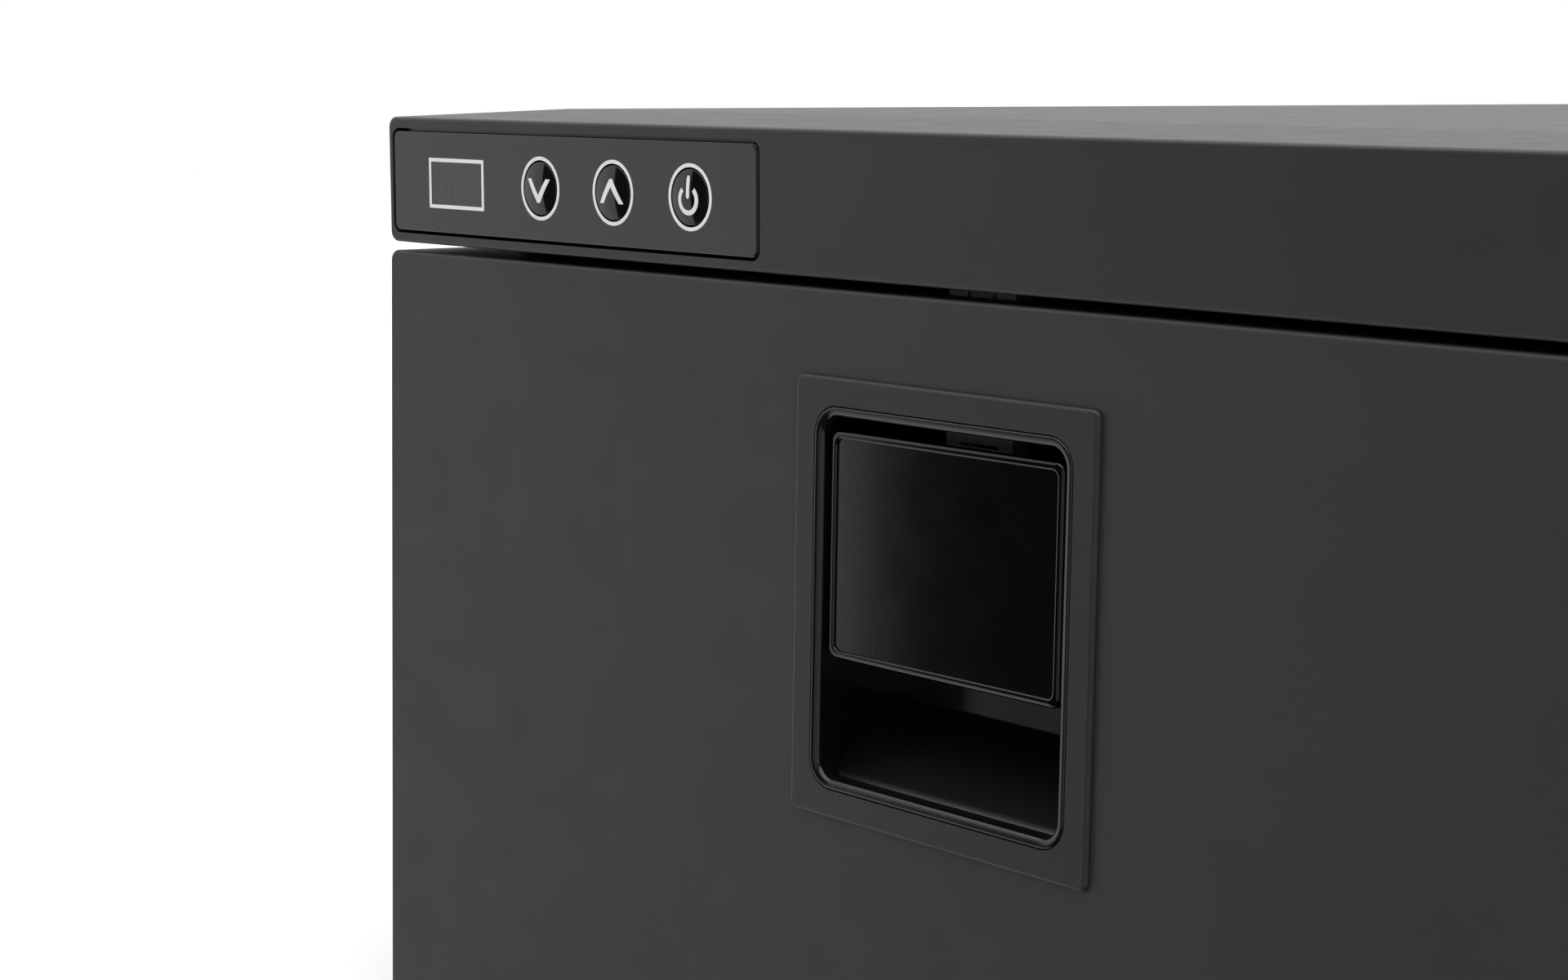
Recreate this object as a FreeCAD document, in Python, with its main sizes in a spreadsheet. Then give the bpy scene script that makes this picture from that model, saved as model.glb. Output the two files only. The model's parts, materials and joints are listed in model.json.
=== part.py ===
"""Built-in drawer refrigerator with a front latch, a control strip and a rear compressor compartment.

+Z is up, the drawer opens towards -Y and +X is to the right of someone facing it.
The origin is under the middle of the appliance, on the surface that its feet rest on. Lengths are in mm.
"""
import FreeCAD, Part
import math
import os
import re

import Sketcher

Vector = FreeCAD.Vector

DIMENSIONS = [
    ("width", 442.0, "overall width"),
    ("depth", 564.5, "overall depth, latch rim to rear screw heads"),
    ("height", 256.0, "overall height, feet included"),
    ("foot_height", 3.0, "rubber foot below the base pan"),
    ("sheet", 1.0, "steel sheet of the wrap, bulkhead and brackets"),
    ("base_sheet", 1.5, "steel sheet of the base pan"),
    ("base_flange", 12.0, "upturned edge of the base pan"),
    ("rear_sheet", 1.5, "rear grille sheet"),
    ("rear_proud", 3.0, "what stands behind the rear grille"),
    ("rear_flange", 14.0, "inward flange that the rear grille is screwed to"),
    ("wrap_radius", 2.5, "outer bend of the wrap"),
    ("machine_depth", 214.0, "bulkhead to the rear grille"),
    ("front_depth", 46.0, "drawer face to the cabinet's front frame"),
    ("frame_plate", 3.0, "thickness of the cabinet's front frame"),
    ("liner_wall", 2.0, "inner liner wall"),
    ("side_wall", 35.0, "insulated side wall, outside to the cold space"),
    ("roof_wall", 23.6, "insulated roof between the control strip's underside and the cold space"),
    ("back_wall", 31.0, "insulated wall between the cold space and the bulkhead"),
    ("cavity_floor", 36.0, "height of the liner's floor"),
    ("cavity_radius", 12.0, "inside corner of the liner"),
    ("foam_gap", 0.2, "foam to the sheet around it"),
    ("strip_height", 34.45, "front height of the control strip"),
    ("strip_rise", 1.95, "how much the strip's top climbs to the rear"),
    ("strip_depth", 59.9, "drawer face to the rear edge of the strip's top"),
    ("strip_gap", 2.35, "gap between strip and drawer front"),
    ("face_lean", 1.38, "degrees by which the strip's face leans forward"),
    ("strip_wall", 2.5, "moulded wall of the strip"),
    ("corner_radius", 2.9, "corner of the strip and the drawer front"),
    ("edge_radius", 1.1, "edge round of moulded fronts"),
    ("panel_left", 2.9, "strip's left end to the control panel"),
    ("panel_bottom", 3.3, "strip's lower edge to the control panel"),
    ("panel_width", 154.4, "control panel"),
    ("panel_height", 27.45, "control panel"),
    ("panel_plate", 2.4, "control panel thickness"),
    ("panel_radius", 2.2, "control panel corner"),
    ("panel_gap", 0.7, "groove round the control panel"),
    ("window_left", 20.85, "strip's left end to the display window"),
    ("window_bottom", 11.0, "strip's lower edge to the display window"),
    ("window_width", 23.6, "display window"),
    ("window_height", 11.7, "display window"),
    ("window_gap", 0.05, "display window in its opening"),
    ("button_left", 70.7, "strip's left end to the first button"),
    ("button_pitch", 30.65, "button spacing"),
    ("button_height", 17.0, "strip's lower edge to the buttons"),
    ("button_radius", 7.05, "button"),
    ("button_gap", 0.25, "button in its hole"),
    ("button_crown", 0.8, "height of the button's dome"),
    ("button_travel", 0.8, "button travel"),
    ("carrier_plate", 4.0, "frame behind the control panel"),
    ("board_depth", 11.5, "panel face to the control board"),
    ("board_plate", 1.6, "control board thickness"),
    ("switch_size", 6.0, "tact switch"),
    ("floor_gap", 4.0, "drawer front above the standing surface"),
    ("skin_wall", 2.0, "outer shell of the drawer front"),
    ("skin_depth", 37.5, "outer shell of the drawer front"),
    ("inner_panel", 3.0, "drawer's inner panel"),
    ("plug_depth", 5.0, "raised middle of the drawer's inner panel"),
    ("plug_gap", 6.0, "raised middle to the liner's sides"),
    ("gasket_width", 10.0, "door gasket section"),
    ("gasket_gap", 0.3, "door gasket to the cabinet's front frame"),
    ("gasket_inset", 8.0, "liner opening to the gasket"),
    ("bezel_width", 96.1, "latch bezel"),
    ("bezel_height", 104.45, "latch bezel"),
    ("bezel_drop", 22.45, "strip's lower edge down to the bezel"),
    ("bezel_proud", 1.3, "bezel in front of the drawer face"),
    ("bezel_radius", 2.2, "bezel corner"),
    ("rim_proud", 0.2, "latch cup's rim in front of the bezel"),
    ("rim_width", 2.4, "latch cup's rim"),
    ("rim_round", 1.75, "inner round of the latch cup's rim"),
    ("rim_edge", 0.5, "outer round of the latch cup's rim"),
    ("rim_gap", 0.25, "groove between rim and bezel"),
    ("mouth_width", 77.2, "latch cup opening"),
    ("mouth_height", 85.6, "latch cup opening"),
    ("mouth_drop", 31.75, "strip's lower edge down to the opening"),
    ("mouth_radius", 4.6, "latch cup opening corner"),
    ("cup_depth", 22.0, "latch cup, drawer face to its rear wall"),
    ("cup_wall", 1.6, "latch cup wall"),
    ("cup_gap", 0.4, "latch cup in the drawer's shell"),
    ("ramp_height", 16.6, "rise of the cup's sloping floor"),
    ("ramp_start", 3.0, "drawer face to the sloping floor"),
    ("paddle_width", 74.6, "latch paddle"),
    ("paddle_height", 54.1, "latch paddle"),
    ("paddle_drop", 34.8, "strip's lower edge down to the paddle"),
    ("paddle_setback", 0.1, "drawer face to the paddle's rim"),
    ("paddle_plate", 3.2, "paddle thickness at its rim"),
    ("paddle_rim", 2.1, "width of the paddle's raised rim"),
    ("paddle_dish", 0.7, "height of the paddle's raised rim"),
    ("paddle_round", 1.3, "outer round of the paddle's raised rim"),
    ("paddle_radius", 2.8, "paddle corner"),
    ("pin_radius", 1.5, "latch pin"),
    ("pin_fit", 0.05, "running fit on the latch pin"),
    ("pin_setback", 6.5, "drawer face to the latch pin"),
    ("pin_drop", 40.3, "strip's lower edge down to the latch pin"),
    ("knuckle_radius", 3.0, "paddle knuckle round the pin"),
    ("knuckle_length", 14.0, "paddle knuckle"),
    ("finger_width", 10.0, "paddle finger that draws the bolt"),
    ("finger_plate", 4.0, "paddle finger"),
    ("finger_reach", 11.5, "latch pin to the finger's tip"),
    ("bolt_width", 21.0, "latch bolt"),
    ("bolt_plate", 5.0, "latch bolt"),
    ("bolt_setback", 11.5, "drawer face to the bolt"),
    ("bolt_length", 55.0, "latch bolt"),
    ("bolt_clear", 0.7, "bolt's tip below the strip"),
    ("slide_fit", 0.35, "bolt in its guide"),
    ("spring_wire", 0.4, "radius of the latch spring's wire"),
    ("spring_radius", 2.7, "latch spring's mean radius"),
    ("strike_plate", 1.2, "steel strike under the strip"),
    ("strike_length", 34.0, "steel strike under the strip"),
    ("rail_height", 36.0, "drawer rail's outer member"),
    ("rail_sheet", 1.2, "drawer rail steel"),
    ("rail_gap", 0.6, "between the rail's members"),
    ("rail_reach", 10.5, "drawer rail, liner wall to its lip"),
    ("rail_rear_gap", 21.0, "rail's rear end to the cold space's rear wall"),
    ("rail_front", 8.0, "cabinet face to the rail's front end"),
    ("rail_lift", 24.0, "liner floor to the rail"),
    ("side_plate_drop", 42.0, "cold space's roof down to the drawer's side plates"),
    ("side_flange", 14.0, "flange that screws a side plate to the drawer front"),
    ("bin_gap", 1.3, "bin to the drawer's side plates"),
    ("bin_wall", 2.2, "bin wall"),
    ("bin_lift", 6.0, "liner floor to the bin"),
    ("bin_headroom", 16.0, "free height over the bin"),
    ("bin_rear_gap", 39.0, "bin to the cold space's rear wall"),
    ("bin_front", 4.0, "cabinet face to the bin"),
    ("bin_rim", 3.0, "bin's turned-out rim"),
    ("bin_radius", 10.0, "bin corner"),
    ("evaporator_side", 36.0, "cold space's side to the evaporator plate"),
    ("evaporator_edge", 18.0, "cold space's floor and roof to the evaporator plate"),
    ("evaporator_plate", 1.6, "evaporator plate"),
    ("evaporator_gap", 5.0, "evaporator plate to the liner's rear wall"),
    ("compressor_radius", 50.0, "compressor can"),
    ("compressor_height", 118.0, "compressor can"),
    ("compressor_lift", 12.0, "base pan to the compressor"),
    ("compressor_side", 115.0, "side to the compressor's centre"),
    ("machine_line", 92.0, "bulkhead to the compressor's centre"),
    ("coil_side", 37.0, "side to the condenser"),
    ("coil_width", 150.0, "condenser across its fins"),
    ("coil_height", 150.0, "condenser"),
    ("coil_plate", 36.0, "condenser fin depth"),
    ("coil_setback", 86.0, "bulkhead to the condenser"),
    ("coil_lift", 14.0, "base pan to the condenser"),
    ("coil_pass", 24.0, "spacing of the condenser's tube passes"),
    ("fin_plate", 0.6, "condenser fin"),
    ("tube_radius", 3.0, "refrigerant tube"),
    ("tube_fit", 0.2, "refrigerant tube in a fin or grommet"),
    ("fan_size", 120.0, "fan frame"),
    ("fan_depth", 25.0, "fan frame"),
    ("fan_bore", 57.5, "fan frame opening radius"),
    ("fan_tip_gap", 4.0, "blade tip to the fan frame"),
    ("fan_hub", 19.0, "fan hub radius"),
    ("fan_gap", 6.0, "condenser to the fan frame"),
    ("blade_plate", 1.6, "fan blade"),
    ("insert_radius", 5.0, "threaded insert, outside"),
    ("insert_bore", 3.0, "threaded insert, bore"),
    ("insert_length", 10.0, "threaded insert"),
    ("insert_edge", 36.0, "side to the threaded inserts"),
    ("insert_front", 90.0, "drawer face to the front inserts"),
    ("insert_rear", 50.0, "rear face to the rear inserts"),
    ("foot_radius", 9.0, "rubber foot"),
    ("foot_edge", 61.0, "side to the feet"),
    ("screw_radius", 2.0, "screw shank"),
    ("screw_head", 3.8, "screw head radius"),
    ("screw_fit", 0.1, "screw in its hole"),
    ("screw_crown", 2.2, "screw head height"),
    ("slot_width", 5.0, "vent slot"),
    ("slot_pitch", 10.0, "vent slot spacing"),
    ("vent_low", 70.0, "standing surface to the side vents"),
    ("vent_drop", 86.0, "top down to the side vents"),
    ("vent_start", 50.0, "bulkhead to the first side vent"),
    ("grille_low", 34.0, "standing surface to the rear vents"),
    ("grille_reach", 58.0, "fan's centre to the ends of its rear vents"),
    ("grille_rib", 4.0, "half the bar between the fan's two columns of vents"),
    ("compressor_vent", 84.0, "length of the vents behind the compressor"),
    ("port_across", -30.0, "centre line to the hole for the tubes"),
    ("port_drop", 66.0, "top down to the hole for the tubes"),
    ("port_radius", 9.0, "hole for the tubes"),
    ("grommet_radius", 12.0, "flange of the tube grommet"),
    ("inlet_drop", 46.0, "top down to the power inlet"),
    ("inlet_width", 32.0, "power inlet's body"),
    ("inlet_height", 20.0, "power inlet's body"),
    ("inlet_flange", 3.0, "power inlet's flange beyond its body"),
    ("inlet_plate", 1.5, "power inlet's flange"),
    ("fuse_side", 66.0, "power inlet to the fuse holder"),
    ("fuse_radius", 7.0, "fuse holder"),
    ("controller_side", 21.0, "side to the compressor's controller"),
    ("controller_width", 108.0, "compressor's controller"),
    ("controller_drop", 18.0, "top down to the controller"),
    ("controller_height", 70.0, "compressor's controller"),
    ("controller_depth", 34.0, "controller without its cooling ribs"),
    ("rib_height", 6.0, "cooling rib of the controller"),
    ("rib_plate", 4.0, "cooling rib of the controller"),
    ("rib_pitch", 9.0, "cooling rib spacing"),
    ("rib_inset", 8.0, "controller's edge to its ribs"),
    ("mount_width", 124.0, "compressor's foot plate"),
    ("mount_depth", 92.0, "compressor's foot plate"),
    ("mount_inset", 10.0, "foot plate's edge to its grommets"),
    ("mount_plate", 3.0, "foot plate below the compressor"),
    ("drier_across", -12.0, "centre line to the filter drier"),
    ("drier_back", 40.0, "bulkhead to the filter drier"),
    ("drier_low", 70.0, "standing surface to the filter drier"),
    ("drier_length", 80.0, "filter drier"),
    ("drier_radius", 9.0, "filter drier"),
    ("divider_drop", 20.0, "bin's rim down to the divider"),
    ("divider_gap", 0.3, "divider to the bin"),
    ("side_plate_lift", 12.0, "liner floor to the side plate's front end"),
    ("guide_wall", 5.0, "wall of the bolt's guide"),
    ("window_below", 4.5, "free height under the finger in the bolt"),
    ("window_above", 2.8, "free height over the finger in the bolt"),
    ("knuckle_inset", 1.2, "paddle's side to its knuckle"),
    ("fan_screw_inset", 7.5, "fan frame's side to its screw holes"),
    ("fan_screw", 2.2, "fan frame's screw hole radius"),
    ("spoke_width", 6.0, "spoke of the fan's motor mount"),
    ("spoke_plate", 3.0, "spoke of the fan's motor mount"),
    ("motor_plate", 4.0, "fan's motor mount"),
    ("rotor_gap", 0.6, "motor mount to the rotor"),
    ("blade_reach", 14.0, "half the fan blade's chord"),
    ("switch_case", 2.4, "tact switch case"),
    ("switch_stem", 1.2, "tact switch stem beyond its case"),
    ("flange_plate", 1.2, "button flange"),
    ("flange_reach", 1.2, "button flange beyond the button"),
    ("flange_back", 0.4, "control panel to the button's flange"),
    ("button_skirt", 2.8, "button behind the control panel"),
    ("stem_radius", 1.6, "button stem"),
]

doc = FreeCAD.newDocument("drawer_refrigerator")
sizes = doc.addObject("Spreadsheet::Sheet", "Sizes")
for row, (alias, amount, meaning) in enumerate(DIMENSIONS, start=1):
    sizes.set(f"A{row}", meaning)
    sizes.set(f"B{row}", str(amount))
    sizes.setAlias(f"B{row}", alias)
doc.recompute()

ALIASES = {alias for alias, _, _ in DIMENSIONS}

# Sizes that follow from the sheet's values.
FOLLOWING = {
    "body_depth": "(depth - bezel_proud - rim_proud - rear_proud)",
    "box_depth": "(body_depth - machine_depth)",
    "cavity_width": "(width - 2 * side_wall)",
    "cavity_height": "(height - strip_height - strip_rise - roof_wall - cavity_floor)",
    "cavity_depth": "(box_depth - front_depth - frame_plate - back_wall)",
    "side_plate_top": "(cavity_height - side_plate_drop)",
    "bin_height": "(cavity_height - bin_lift - bin_headroom)",
    "bin_length": "(cavity_depth + frame_plate - bin_front - bin_rear_gap)",
    "rail_length": "(cavity_depth + frame_plate - rail_front - rail_rear_gap)",
    "evaporator_width": "(cavity_width - 2 * evaporator_side)",
    "evaporator_height": "(cavity_height - 2 * evaporator_edge)",
    "insert_side": "(width / 2 - insert_edge)",
    "insert_spacing": "(body_depth - insert_front - insert_rear)",
    "foot_side": "(width / 2 - foot_edge)",
    "coil_left": "(width / 2 - coil_side - coil_width)",
    "compressor_left": "(width / 2 - compressor_side)",
    "port_up": "(height - port_drop)",
    "inlet_up": "(height - inlet_drop)",
    "fuse_across": "(fuse_side - compressor_left)",
    "controller_left": "(controller_side - width / 2)",
    "controller_top": "(height - controller_drop)",
    "controller_low": "(controller_top - controller_height)",
    "drier_place": "(box_depth + drier_back)",
    "drier_top": "(drier_low + drier_length)",
    "switch_face": "(board_depth - switch_case - switch_stem)",
}

# Places that many pieces share, as formulas of the sheet's values.
FRONT = "(bezel_proud + rim_proud - depth / 2)"
STRIP_BOTTOM = "(height - strip_height - strip_rise)"
DRAWER_TOP = "(height - strip_height - strip_rise - strip_gap)"
REAR_FACE = "body_depth"
REAR_INSIDE = "(body_depth - rear_sheet)"
BASE_TOP = "(foot_height + base_sheet)"
LINER_FRONT = "(front_depth + frame_plate)"
CUP_SIDE = "(mouth_width / 2 + cup_wall)"
PADDLE_BACK = "(paddle_setback + paddle_plate)"
PIN_HEIGHT = "(-pin_drop)"
SKIN_BACK = "skin_depth"
RAIL_START = "(front_depth + rail_front)"
RAIL_LOW = "(cavity_floor + rail_lift)"
SIDE_PLATE = "(cavity_width / 2 - rail_reach - 0.5)"
FAN_CENTRE_X = "(coil_left + coil_width / 2)"
FAN_CENTRE_Z = "(foot_height + base_sheet + coil_lift + coil_height / 2)"
FAN_FRONT = "(box_depth + sheet + coil_setback + coil_plate + fan_gap)"

# Body origins. Local y is the distance behind the drawer's face in all of them.
CABINET = ("0", FRONT, "0")
LATCH = ("0", FRONT, STRIP_BOTTOM)
CONTROLS = ("-width / 2", FRONT, STRIP_BOTTOM)

pieces = []


def formula(text):
    """The same formula with every dimension's name pointing at the sheet."""
    def spell(match):
        name = match.group()
        if name in FOLLOWING:
            return formula(FOLLOWING[name])
        return f"Sizes.{name}" if name in ALIASES else name
    return re.sub(r"[a-z][a-z_]*", spell, text)


def number(text):
    """What a formula is worth now."""
    return float(sizes.evalExpression(formula(text)))


def place(thing, origin, lean=None):
    """Ties a piece's position to the sheet, and tips it about X where it follows the strip's face."""
    if lean:
        thing.Placement.Rotation = FreeCAD.Rotation(Vector(1, 0, 0), 1)
        thing.setExpression("Placement.Rotation.Angle", formula(lean))
    for axis, text in zip("xyz", origin):
        thing.setExpression(f"Placement.Base.{axis}", formula(text))


def new_body(label, origin=CABINET, lean=None):
    """A sub-part with sketched features."""
    body = doc.addObject("PartDesign::Body", label)
    body.Label = label
    place(body, origin, lean)
    pieces.append(body)
    return body


def add_shape(label, shape, origin=CABINET):
    """A sub-part that is one ready shape, such as a bent tube."""
    feature = doc.addObject("Part::Feature", label)
    feature.Label = label
    feature.Shape = shape
    place(feature, origin)
    pieces.append(feature)
    return feature


def box(left, low, right, high, radius=None):
    """A rectangle for a sketch, with round corners where a radius is given."""
    return ("box", left, low, right, high, radius)


def disc(across, up, radius):
    """A circle for a sketch."""
    return ("disc", across, up, radius)


def outline(*points):
    """A closed run of straight lines for a sketch."""
    return ("outline", points)


class Drawing:
    """Collects a sketch's lines, arcs and rules, so that they are added and solved together."""

    def __init__(self):
        self.shapes = []
        self.rules = []
        self.ties = []

    def line(self, start, end):
        self.shapes.append(Part.LineSegment(Vector(*start, 0), Vector(*end, 0)))

    def rule(self, kind, *places):
        self.rules.append(Sketcher.Constraint(kind, *places))

    def tie(self, kind, places, text):
        """A dimension that is bound to the sheet."""
        self.ties.append((len(self.rules), text))
        self.rules.append(Sketcher.Constraint(kind, *places, number(text)))

    def outline(self, points):
        first = len(self.shapes)
        corners = [(number(x), number(y)) for x, y in points]
        count = len(corners)
        for i, (x, y) in enumerate(points):
            self.line(corners[i], corners[(i + 1) % count])
            self.rule("Coincident", first + i, 2, first + (i + 1) % count, 1)
            self.tie("DistanceX", (-1, 1, first + i, 1), x)
            self.tie("DistanceY", (-1, 1, first + i, 1), y)

    def disc(self, across, up, radius):
        index = len(self.shapes)
        centre = Vector(number(across), number(up), 0)
        self.shapes.append(Part.Circle(centre, Vector(0, 0, 1), number(radius)))
        self.tie("DistanceX", (-1, 1, index, 3), across)
        self.tie("DistanceY", (-1, 1, index, 3), up)
        self.tie("Radius", (index,), radius)

    def box(self, left, low, right, high, radius):
        if not radius:
            self.outline([(left, low), (right, low), (right, high), (left, high)])
            return
        first = len(self.shapes)
        x0, y0, x1, y1, r = (number(text) for text in (left, low, right, high, radius))
        starts = [(x0 + r, y0), (x1, y0 + r), (x1 - r, y1), (x0, y1 - r)]
        ends = [(x1 - r, y0), (x1, y1 - r), (x0 + r, y1), (x0, y0 + r)]
        centres = [(x1 - r, y0 + r), (x1 - r, y1 - r), (x0 + r, y1 - r), (x0 + r, y0 + r)]
        for side in range(4):
            self.line(starts[side], ends[side])
            circle = Part.Circle(Vector(*centres[side], 0), Vector(0, 0, 1), r)
            turn = math.radians(90 * side - 90)
            self.shapes.append(Part.ArcOfCircle(circle, turn, turn + math.pi / 2))
            line = first + 2 * side
            self.rule("Tangent", line, 2, line + 1, 1)
            self.rule("Tangent", line + 1, 2, first + (2 * side + 2) % 8, 1)
            self.rule("Vertical" if side % 2 else "Horizontal", line)
            if side:
                self.rule("Equal", first + 1, line + 1)
        self.tie("DistanceY", (-1, 1, first, 1), low)
        self.tie("DistanceX", (-1, 1, first + 2, 1), right)
        self.tie("DistanceY", (-1, 1, first + 4, 1), high)
        self.tie("DistanceX", (-1, 1, first + 6, 1), left)
        self.tie("Radius", (first + 1,), radius)

    def fill(self, sketch):
        sketch.addGeometry(self.shapes, False)
        sketch.addConstraint(self.rules)
        for index, text in self.ties:
            sketch.renameConstraint(index, f"size_{index}")
            sketch.setExpression(f"Constraints.size_{index}", formula(text))


def draw(body, plane, lift, loops):
    """A sketch on one of the body's own origin planes, lifted along the plane's normal."""
    sketch = body.newObject("Sketcher::SketchObject", f"{body.Name}_sketch")
    base = next(item for item in body.Origin.OriginFeatures if item.Role == f"{plane}_Plane")
    sketch.AttachmentSupport = [(base, "")]
    sketch.MapMode = "FlatFace"
    sketch.setExpression("AttachmentOffset.Base.z", formula(lift))
    drawing = Drawing()
    for kind, *values in loops:
        getattr(drawing, kind)(*values)
    drawing.fill(sketch)
    return sketch


def repeat(body, feature, axis, spacing, count):
    """Repeats a feature in a row along one of the body's axes."""
    pattern = body.newObject("PartDesign::LinearPattern", f"{body.Name}_row")
    pattern.Originals = [feature]
    pattern.Direction = (next(item for item in body.Origin.OriginFeatures if item.Role == f"{axis}_Axis"), [""])
    pattern.setExpression("Length", formula(f"({spacing}) * {count - 1}"))
    pattern.Occurrences = count
    body.Tip = pattern
    doc.recompute()
    return pattern


def pad(body, plane, low, high, *loops):
    """Adds what the loops enclose between two distances along the plane's axis (XZ sketches face -Y)."""
    sketch = draw(body, plane, f"-({high})" if plane == "XZ" else low, loops)
    feature = body.newObject("PartDesign::Pad", f"{body.Name}_pad")
    feature.Profile = sketch
    feature.setExpression("Length", formula(f"({high}) - ({low})"))
    doc.recompute()
    return feature


def pocket(body, plane, low, high, *loops):
    """Takes away what the loops enclose between two distances along the plane's axis."""
    before = body.Shape.Volume
    sketch = draw(body, plane, f"-({low})" if plane == "XZ" else high, loops)
    feature = body.newObject("PartDesign::Pocket", f"{body.Name}_pocket")
    feature.Profile = sketch
    feature.setExpression("Length", formula(f"({high}) - ({low})"))
    doc.recompute()
    if body.Shape.Volume >= before - 1e-6:
        raise RuntimeError(f"a pocket in {body.Label} removes nothing")
    return feature


def fillet(body, radius, wanted):
    """Rounds every edge of the body so far that the test picks."""
    last = body.Tip
    names = [f"Edge{i}" for i, edge in enumerate(last.Shape.Edges, start=1) if wanted(edge)]
    feature = body.newObject("PartDesign::Fillet", f"{body.Name}_fillet")
    feature.Base = (last, names)
    feature.setExpression("Radius", formula(radius))
    doc.recompute()
    if "Invalid" in feature.State:
        raise RuntimeError(f"a fillet in {body.Label} fails")
    return feature


def runs_along(edge, axis, length=0.0):
    """Whether an edge is a straight line along an axis and at least that long."""
    span = edge.BoundBox
    reach = {"x": span.XLength, "y": span.YLength, "z": span.ZLength}
    along = reach.pop(axis)
    return along > max(length, 1e-3) and max(reach.values()) < 1e-6


def lies_at(edge, axis, place_text):
    """Whether all of an edge lies at one coordinate."""
    span = edge.BoundBox
    low, high = {"x": (span.XMin, span.XMax), "y": (span.YMin, span.YMax), "z": (span.ZMin, span.ZMax)}[axis]
    target = number(place_text)
    return abs(low - target) < 1e-4 and abs(high - target) < 1e-4


def is_within(edge, frame):
    """Whether an edge stays inside a rectangle of the XZ plane."""
    left, low, right, high = (number(text) for text in frame[1:5])
    span = edge.BoundBox
    return (span.XMin > left - 1e-4 and span.XMax < right + 1e-4 and span.ZMin > low - 1e-4
            and span.ZMax < high + 1e-4)


def bent_path(points):
    """Straight runs joined by tangent arcs, each as large as its two runs allow."""
    edges = []
    start = points[0]
    for before, corner, after in zip(points, points[1:], points[2:]):
        back = before - corner
        ahead = after - corner
        half_turn = (math.pi - back.getAngle(ahead)) / 2
        leave = 0.45 * min(back.Length, ahead.Length)
        radius = leave / math.tan(half_turn)
        first = corner + back.normalize() * leave
        last = corner + ahead.normalize() * leave
        to_centre = (back + ahead).normalize()
        middle = corner + to_centre * (math.hypot(radius, leave) - radius)
        edges.append(Part.LineSegment(start, first).toShape())
        edges.append(Part.Arc(first, middle, last).toShape())
        start = last
    edges.append(Part.LineSegment(start, points[-1]).toShape())
    return Part.Wire(edges)


def swept(path, radius):
    """A round bar along a path of lines and arcs."""
    start = path.Edges[0].valueAt(path.Edges[0].FirstParameter)
    heading = path.Edges[0].tangentAt(path.Edges[0].FirstParameter)
    section = Part.Wire(Part.Circle(start, heading, radius).toShape())
    return path.makePipeShell([section], True, False)


def tube(label, *points):
    """A refrigerant tube through the given corners, as formulas, ending flat."""
    corners = [Vector(*(number(text) for text in point)) for point in points]
    return add_shape(label, swept(bent_path(corners), number("tube_radius")))


# ---------------------------------------------------------------- cabinet

def make_outer_wrap():
    """One sheet folded over the top and both sides, flanged inwards at the rear, with side vents."""
    body = new_body("outer_wrap")
    side, inner = "(width / 2)", "(width / 2 - sheet)"
    pad(body, "XZ", "front_depth", REAR_INSIDE, outline(
        (f"-{side}", "foot_height"), (f"-{inner}", "foot_height"), (f"-{inner}", "height - sheet"),
        (inner, "height - sheet"), (inner, "foot_height"), (side, "foot_height"),
        (side, "height"), (f"-{side}", "height")))
    lip, low = "(width / 2 - rear_flange)", "(foot_height + base_flange + 4)"
    pad(body, "XZ", f"{REAR_INSIDE} - sheet", REAR_INSIDE, outline(
        (f"-{inner} - sheet / 2", low), (f"-{lip}", low), (f"-{lip}", "height - rear_flange"),
        (lip, "height - rear_flange"), (lip, low), (f"{inner} + sheet / 2", low),
        (f"{inner} + sheet / 2", "height - sheet / 2"), (f"-{inner} - sheet / 2", "height - sheet / 2")))
    pocket(body, "XZ", "front_depth", "strip_depth", box(f"-{side}", STRIP_BOTTOM, side, "height"))
    fillet(body, "wrap_radius", lambda edge: runs_along(edge, "y", 100) and lies_at(edge, "z", "height"))
    start = "(box_depth + vent_start)"
    slot = pocket(body, "YZ", f"-{side}", side,
                  box(start, "vent_low", f"{start} + slot_width", "height - vent_drop", "slot_width / 2.02"))
    repeat(body, slot, "Y", "slot_pitch", 12)
    pocket(body, "XZ", f"{REAR_INSIDE} - sheet", REAR_INSIDE, *screw_holes("screw_radius + screw_fit"))


def screw_places():
    """Where the rear grille is screwed to the wrap, across and up."""
    side = "(width / 2 - rear_flange / 2 - sheet)"
    top = "(height - rear_flange / 2 - sheet)"
    sides = [(f"{sign}{side}", f"height * {share}") for share in (0.25, 0.65) for sign in ("-", "")]
    return sides + [(f"{sign}width * {share}", top) for share in (0.38, 0.13) for sign in ("-", "")]


def screw_holes(radius):
    return [disc(across, up, radius) for across, up in screw_places()]


def make_base_pan():
    """Folded base with upturned edges and holes for the threaded inserts."""
    body = new_body("base_pan")
    side, inner = "(width / 2 - sheet)", "(width / 2 - sheet - base_sheet)"
    pad(body, "XZ", "front_depth", REAR_INSIDE, outline(
        (f"-{side}", "foot_height"), (side, "foot_height"), (side, "foot_height + base_flange"),
        (inner, "foot_height + base_flange"), (inner, BASE_TOP), (f"-{inner}", BASE_TOP),
        (f"-{inner}", "foot_height + base_flange"), (f"-{side}", "foot_height + base_flange")))
    pocket(body, "XY", "foot_height", BASE_TOP, *four_discs("insert_side", "insert_radius"))


def four_discs(side, radius):
    """Circles in the two rows of the threaded inserts, left and right of the centre line."""
    rows = ("insert_front", "insert_front + insert_spacing")
    return [disc(f"{sign}{side}", y, radius) for sign in ("-", "") for y in rows]


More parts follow.
